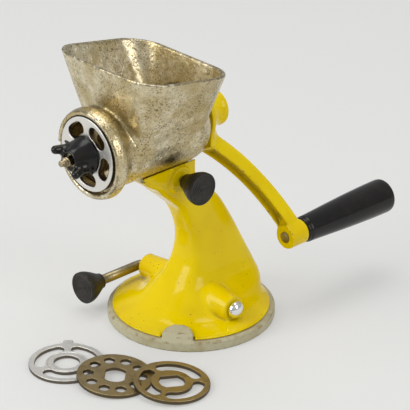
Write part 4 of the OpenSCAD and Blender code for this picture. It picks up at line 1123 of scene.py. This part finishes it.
class MincerLooks(bpy.types.PropertyGroup):
    """Sizes and colours of the mincer's looks."""

    cast_step: length_of("Casting grid", "Grid step of the large castings", 1.1)
    fine_step: length_of("Fine grid", "Grid step of the crank and worm", 0.75)
    disc_step: length_of("Disc grid", "Grid step of the cutters and the wing nut", 0.5)
    ring_gap: length_of("Knob rings", "Distance between the rings on a knob's face", 1.65)
    ring_depth: length_of("Ring depth", "Depth of the rings on a knob's face", 0.3)
    thread_pitch: length_of("Thread pitch", "Pitch of the worm's stud", 1.9)
    thread_depth: length_of("Thread depth", "Depth of the stud's thread", 0.95)
    enamel: colour_of("Enamel", "Yellow enamel", "#E4C800")
    enamel_deep: colour_of("Deep enamel", "Yellow enamel where it lies thick", "#DABB00")
    # Darker yellow laid in sheltered places: painted shade and dirt
    enamel_dirt_and_shade: colour_of("Dirty enamel", "Yellow enamel in sheltered places", "#9C8404")
    # Laid in the enamel's hollows and the pad's sheltered places: dirt and painted shade
    grime_and_shade: colour_of("Grime", "Dirt in hollows", "#6E5A22")
    rust: colour_of("Rust", "Rust in pinholes", "#6A4212")
    bare_iron: colour_of("Bare iron", "Iron under chipped enamel", "#77705C")
    tin: colour_of("Tin", "Tinned iron", "#C3B48A")
    tin_warm: colour_of("Warm tin", "Tin with the iron showing", "#BDAA79")
    tin_bright: colour_of("Bright tin", "Thick tin", "#E2D7BA")
    # Laid in sheltered places of the tin: soot and painted shade
    tin_soot_and_shade: colour_of("Dark tin", "Sooted tin", "#75663C")
    tin_worn: colour_of("Worn tin", "Iron on worn edges", "#8A8068")
    pit: colour_of("Pits", "Dirt in the casting's pits", "#4E4229")
    phenolic: colour_of("Phenolic", "Moulded black", "#191510")
    phenolic_dust: colour_of("Dusty phenolic", "Moulded black, dusty", "#2E2820")
    gloss_black: colour_of("Polished black", "Polished grip", "#0C0B0A")
    bright_steel: colour_of("Bright steel", "Ground cutter steel", "#E2E0DA")
    # Stains on the ground steel, also laid in its sheltered places as painted shade
    steel_stain_and_shade: colour_of("Steel stain", "Stains on steel", "#94886C")
    brown_steel: colour_of("Brown steel", "Stained cutter steel", "#A4926C")
    # Stains on the stained and plated steel, also laid in their sheltered places as painted shade
    brown_stain_and_shade: colour_of("Brown stain", "Brown stain on cutters", "#6C5A36")
    # Laid on the sides of the steel pieces: rust and a painted reflection of the shaded floor
    rusty_shaded_side: colour_of("Cut sides", "Cut sides of the cutters", "#574D3C")
    plated_steel: colour_of("Plated steel", "Plated rods and screws", "#9C9070")
    chrome: colour_of("Chrome", "Chrome cap", "#EDEDED")
    brass: colour_of("Brass", "Brass threads", "#C4B594")
    # Tarnish on brass, also laid in the thread's grooves as painted shade
    brass_tarnish_and_shade: colour_of("Tarnish", "Tarnish on brass", "#5A4A30")
    rubber: colour_of("Rubber", "Aged rubber", "#B6B093")
    rubber_dark: colour_of("Dark rubber", "Perished rubber", "#A2966F")
    rubber_stain: colour_of("Rubber stain", "Brown stain on rubber", "#7A6334")
    floor: colour_of("Floor", "Studio floor", "#DEDEDC")


# Operators


class MincerOperator(bpy.types.Operator):
    """Shared settings of the mincer's operators."""

    bl_options = {"REGISTER", "UNDO"}


# Pieces that use has dulled beyond their slot's finish
DULLED = {"fixed_cutter": "stained_steel"}


class MINCER_OT_finishes(MincerOperator):
    """Gives the solid pieces their finishes"""

    bl_idname = "mincer.finishes"
    bl_label = "Finishes"

    def execute(self, context):
        for row in frame["record"]["subparts"]:
            mesh = frame["nodes"][row["node"]].data
            mesh.materials.clear()
            mesh.materials.append(finish_of(DULLED.get(row["node"], row["material_slot"])))
        return {"FINISHED"}


class MINCER_OT_base(MincerOperator):
    """Makes the stand and the suction pad"""

    bl_idname = "mincer.base"
    bl_label = "Stand and pad"

    def execute(self, context):
        step = context.scene.mincer_looks.cast_step / MM
        cast_piece("stand_casting", stand_field, "stand", "base", "yellow_paint", step)
        cast_piece("pad_moulding", pad_field, "suction_pad", "base", "pad_rubber", step)
        return {"FINISHED"}


class MINCER_OT_barrel(MincerOperator):
    """Makes the barrel and hopper casting"""

    bl_idname = "mincer.barrel"
    bl_label = "Barrel and hopper"

    def execute(self, context):
        step = context.scene.mincer_looks.cast_step / MM
        cast_piece("hopper_casting", casting_field, "barrel_casting", "base", "tinned_iron", step)
        return {"FINISHED"}


class MINCER_OT_train(MincerOperator):
    """Makes the worm, its stud, the cutting plate and the wing nut"""

    bl_idname = "mincer.train"
    bl_label = "Worm and cutters"

    def execute(self, context):
        looks = context.scene.mincer_looks
        disc = looks.disc_step / MM
        cast_piece("worm_casting", worm_field, "feed_worm", "worm", "tinned_iron", looks.fine_step / MM)
        cast_piece("kidney_plate", plate_field(turned_slots(*KIDNEY_SLOTS)), "cutting_plate", "worm",
                   "cutter_steel", disc, PLATE_PLACE)
        cast_piece("winged_moulding", nut_field, "wing_nut", "nut", "black_gloss", disc, NUT_PLACE)
        tip, root = BOXES["worm_stud"][0][0], BOXES["worm_stud"][1][0]
        pitch, depth = looks.thread_pitch / MM, looks.thread_depth / MM
        along, radius, groove = thread_rows(root - tip, STUD_R, pitch, depth, STUD_TIP, STUD_SIDES)
        points, quads = turned(along, radius, (root, 0, AXIS_Z), (-1, 0, 0), STUD_SIDES)
        # The thread's groove wave is given as the shelter mark, so the brass finish lays tarnish and painted shade
        # in the grooves
        put_mesh("stud_thread", points, quads, "worm", "thread_brass", "worm_stud",
                 marks={"shelter": groove.ravel()})
        return {"FINISHED"}


class MINCER_OT_crank(MincerOperator):
    """Makes the crank arm and the grip"""

    bl_idname = "mincer.crank"
    bl_label = "Crank and grip"

    def execute(self, context):
        step = context.scene.mincer_looks.fine_step / MM
        cast_piece("crank_casting", crank_field, "crank_arm", "worm", "yellow_paint", step, CRANK_PLACE)
        start, stop = BOXES["grip"][0][0], BOXES["grip"][1][0]
        turned_piece("grip_turning", grip_profile(stop - start), (start, GRIP_Y, GRIP_Z), (1, 0, 0),
                     "handle", "black_gloss", "grip")
        return {"FINISHED"}


class MINCER_OT_knobs(MincerOperator):
    """Makes the lever rod, its cap and both knobs"""

    bl_idname = "mincer.knobs"
    bl_label = "Lever and knobs"

    def execute(self, context):
        looks = context.scene.mincer_looks
        lever, clamp, cap = BOXES["lever_knob"], BOXES["clamp_knob"], BOXES["shaft_cap"]
        length = lever[1][0] - lever[0][0]
        rings = looks.ring_gap / MM, looks.ring_depth / MM
        side = (lever[0][1] + lever[1][1]) / 2
        turned_piece("lever_knob_turning", knob_profile(length, ROD_HOLE_R, *rings),
                     (lever[1][0], side, LEVER_Z), (-1, 0, 0), "lever", "black_moulding", "lever_knob")
        turned_piece("clamp_knob_turning", knob_profile(length, SCREW_HOLE_R, *rings),
                     (CLAMP_X, clamp[1][1], CLAMP_Z), (0, -1, 0), "clamp_head", "black_moulding",
                     "clamp_knob")
        turned_piece("cap_dome", dome_profile(cap[1][1] - cap[0][1], ROD_HOLE_R),
                     (0, cap[1][1], LEVER_Z), (0, -1, 0), "lever", "bright_plate", "shaft_cap")
        points, quads = swept(lever_path(ROD_R, ROD_BEND), ROD_R)
        put_mesh("lever_rod", points, quads, "lever", "plain_steel", "lever_shaft")
        return {"FINISHED"}


class MINCER_OT_spares(MincerOperator):
    """Makes the three spare cutters on the table"""

    bl_idname = "mincer.spares"
    bl_label = "Spare cutters"

    def execute(self, context):
        step = context.scene.mincer_looks.disc_step / MM
        fields = (tabbed_field, plate_field(ring_holes(*MEDIUM_HOLES)),
                  plate_field(turned_slots(*COARSE_SLOTS)))
        rows = (("spare_fixed_cutter", "spare_one", "cutter_steel"),
                ("spare_medium_plate", "spare_two", "stained_steel"),
                ("spare_coarse_plate", "spare_three", "stained_steel"))
        for field, (name, body, slot), place in zip(fields, rows, spare_places()):
            cast_piece(name + "_face", field, name, body, slot, step, place)
        return {"FINISHED"}


class MINCER_OT_stage(MincerOperator):
    """Makes the floor, the lights, the world and the camera"""

    bl_idname = "mincer.stage"
    bl_label = "Studio"

    def execute(self, context):
        scene = context.scene
        scene.view_settings.view_transform = "Standard"
        make_floor(scene)
        make_lights(scene)
        make_camera(scene)
        return {"FINISHED"}


# Reach of the floor in metres, the share of glow in its look and the glow's strength
FLOOR_REACH = 4.0
FLOOR_GLOW = 0.45
GLOW_STRENGTH = 0.95


def make_floor(scene):
    """A wide level sheet of pale paper, which shows part of its colour evenly and keeps soft shadows."""
    colour = scene.mincer_looks.floor
    material, tree, shader = new_finish("backdrop_paper", {"Base Color": colour, "Roughness": 0.9})
    seen = node(tree, "LightPath", out="Is Camera Ray")
    for ray in ("Is Glossy Ray", "Is Transmission Ray"):
        seen = node(tree, "Math", {0: seen, 1: node(tree, "LightPath", out=ray)}, operation="MAXIMUM")
    share = node(tree, "Math", {0: seen, 1: FLOOR_GLOW}, operation="MULTIPLY")
    glow = node(tree, "Emission", {"Color": colour, "Strength": GLOW_STRENGTH})
    paper = node(tree, "MixShader", {0: share, 1: shader.outputs["BSDF"], 2: glow})
    tree.links.new(paper, tree.nodes["Material Output"].inputs["Surface"])
    mesh = bpy.data.meshes.new("floor")
    r = FLOOR_REACH
    mesh.from_pydata([(-r, -r, 0), (r, -r, 0), (r, r, 0), (-r, r, 0)], [], [(0, 1, 2, 3)])
    mesh.materials.append(material)
    floor = bpy.data.objects.new("floor", mesh)
    scene.collection.objects.link(floor)


# Soft boxes: place, width and height in metres, and power in watts
SOFT_BOXES = {
    "left": ((-1.48, 0.52, 0.95), 1.3, 1.1, 19.0),
    "right": ((0.30, -1.50, 0.90), 0.6, 1.1, 7.5),
    "top": ((0.25, 0.35, 2.2), 1.3, 1.3, 17.0),
}
LAMP_AIM = np.array([0, 0, 0.1])
# The world's strength at the horizon and overhead, and the height at which it is full
WORLD_LEVELS = (0.44, 0.60)
WORLD_FULL = 0.9


def make_lights(scene):
    """A soft box on either side, one above, and a world that is brighter overhead than at the horizon."""
    world = bpy.data.worlds.new("studio")
    world.use_nodes = True
    scene.world = world
    tree = world.node_tree
    tree.nodes.clear()
    height = node(tree, "SeparateXYZ", {0: node(tree, "TexCoord", out="Generated")}, 2)
    level = node(tree, "MapRange", {"Value": height, "From Min": 0.0, "From Max": WORLD_FULL,
                                    "To Min": WORLD_LEVELS[0], "To Max": WORLD_LEVELS[1]})
    sky = node(tree, "Background", {"Color": linear("#F3F4F5"), "Strength": level})
    node(tree, "OutputWorld", {"Surface": sky})
    for name, (place, width, height, power) in SOFT_BOXES.items():
        light = bpy.data.lights.new(name, "AREA")
        light.shape = "RECTANGLE"
        light.size, light.size_y, light.energy = width, height, power
        lamp = bpy.data.objects.new(name, light)
        lamp.matrix_world = looking_at(np.array(place), LAMP_AIM)
        scene.collection.objects.link(lamp)


def looking_at(place, target):
    """Matrix of a lamp or camera at a place that looks at a target, upright."""
    back = (place - target) / np.linalg.norm(place - target)
    right = np.cross([0.0, 0, 1], back)
    right /= np.linalg.norm(right)
    turn = np.column_stack([right, np.cross(back, right), back])
    return Matrix.Translation(place) @ Matrix(turn.tolist()).to_4x4()


# The camera: its turn and rise, its distance and aim in metres, and its sensor and lens in millimetres
VIEW_TURN = np.radians(42.89)
VIEW_RISE = np.radians(26.04)
VIEW_DISTANCE = 1.529
VIEW_AIM = np.array([0.00696, -0.00647, 0.0813])
SENSOR = 36.0
# The photograph's width and focal length in its own pixels give the lens
PHOTO_WIDTH = 410.0
PHOTO_FOCUS = 2270.0
FOCUS = PHOTO_FOCUS / PHOTO_WIDTH * SENSOR


def make_camera(scene):
    """A long lens a metre and a half away, turned and raised as the photograph's."""
    back = np.array([-np.sin(VIEW_TURN) * np.cos(VIEW_RISE), -np.cos(VIEW_TURN) * np.cos(VIEW_RISE),
                     np.sin(VIEW_RISE)])
    data = bpy.data.cameras.new("camera")
    data.sensor_width = SENSOR
    data.lens = FOCUS
    camera = bpy.data.objects.new("camera", data)
    camera.matrix_world = looking_at(VIEW_AIM + back * VIEW_DISTANCE, VIEW_AIM)
    scene.collection.objects.link(camera)
    scene.camera = camera


class MINCER_PT_panel(bpy.types.Panel):
    """Lists the mincer's operators and looks"""

    bl_label = "Mincer"
    bl_idname = "MINCER_PT_panel"
    bl_space_type = "VIEW_3D"
    bl_region_type = "UI"
    bl_category = "Mincer"

    def draw(self, context):
        for operator in OPERATORS:
            self.layout.operator(operator.bl_idname)
        for name in MincerLooks.__annotations__:
            self.layout.prop(context.scene.mincer_looks, name)


OPERATORS = (MINCER_OT_finishes, MINCER_OT_base, MINCER_OT_barrel, MINCER_OT_train, MINCER_OT_crank,
             MINCER_OT_knobs, MINCER_OT_spares, MINCER_OT_stage)
CLASSES = (MincerLooks, *OPERATORS, MINCER_PT_panel)


def register():
    """Registers the classes and the looks."""
    for cls in CLASSES:
        bpy.utils.register_class(cls)
    bpy.types.Scene.mincer_looks = PointerProperty(type=MincerLooks)


def unregister():
    """Takes the classes and the looks away."""
    del bpy.types.Scene.mincer_looks
    for cls in reversed(CLASSES):
        bpy.utils.unregister_class(cls)


def main():
    register()
    for operator in OPERATORS:
        group, name = operator.bl_idname.split(".")
        getattr(getattr(bpy.ops, group), name)()


if __name__ == "__main__":
    main()
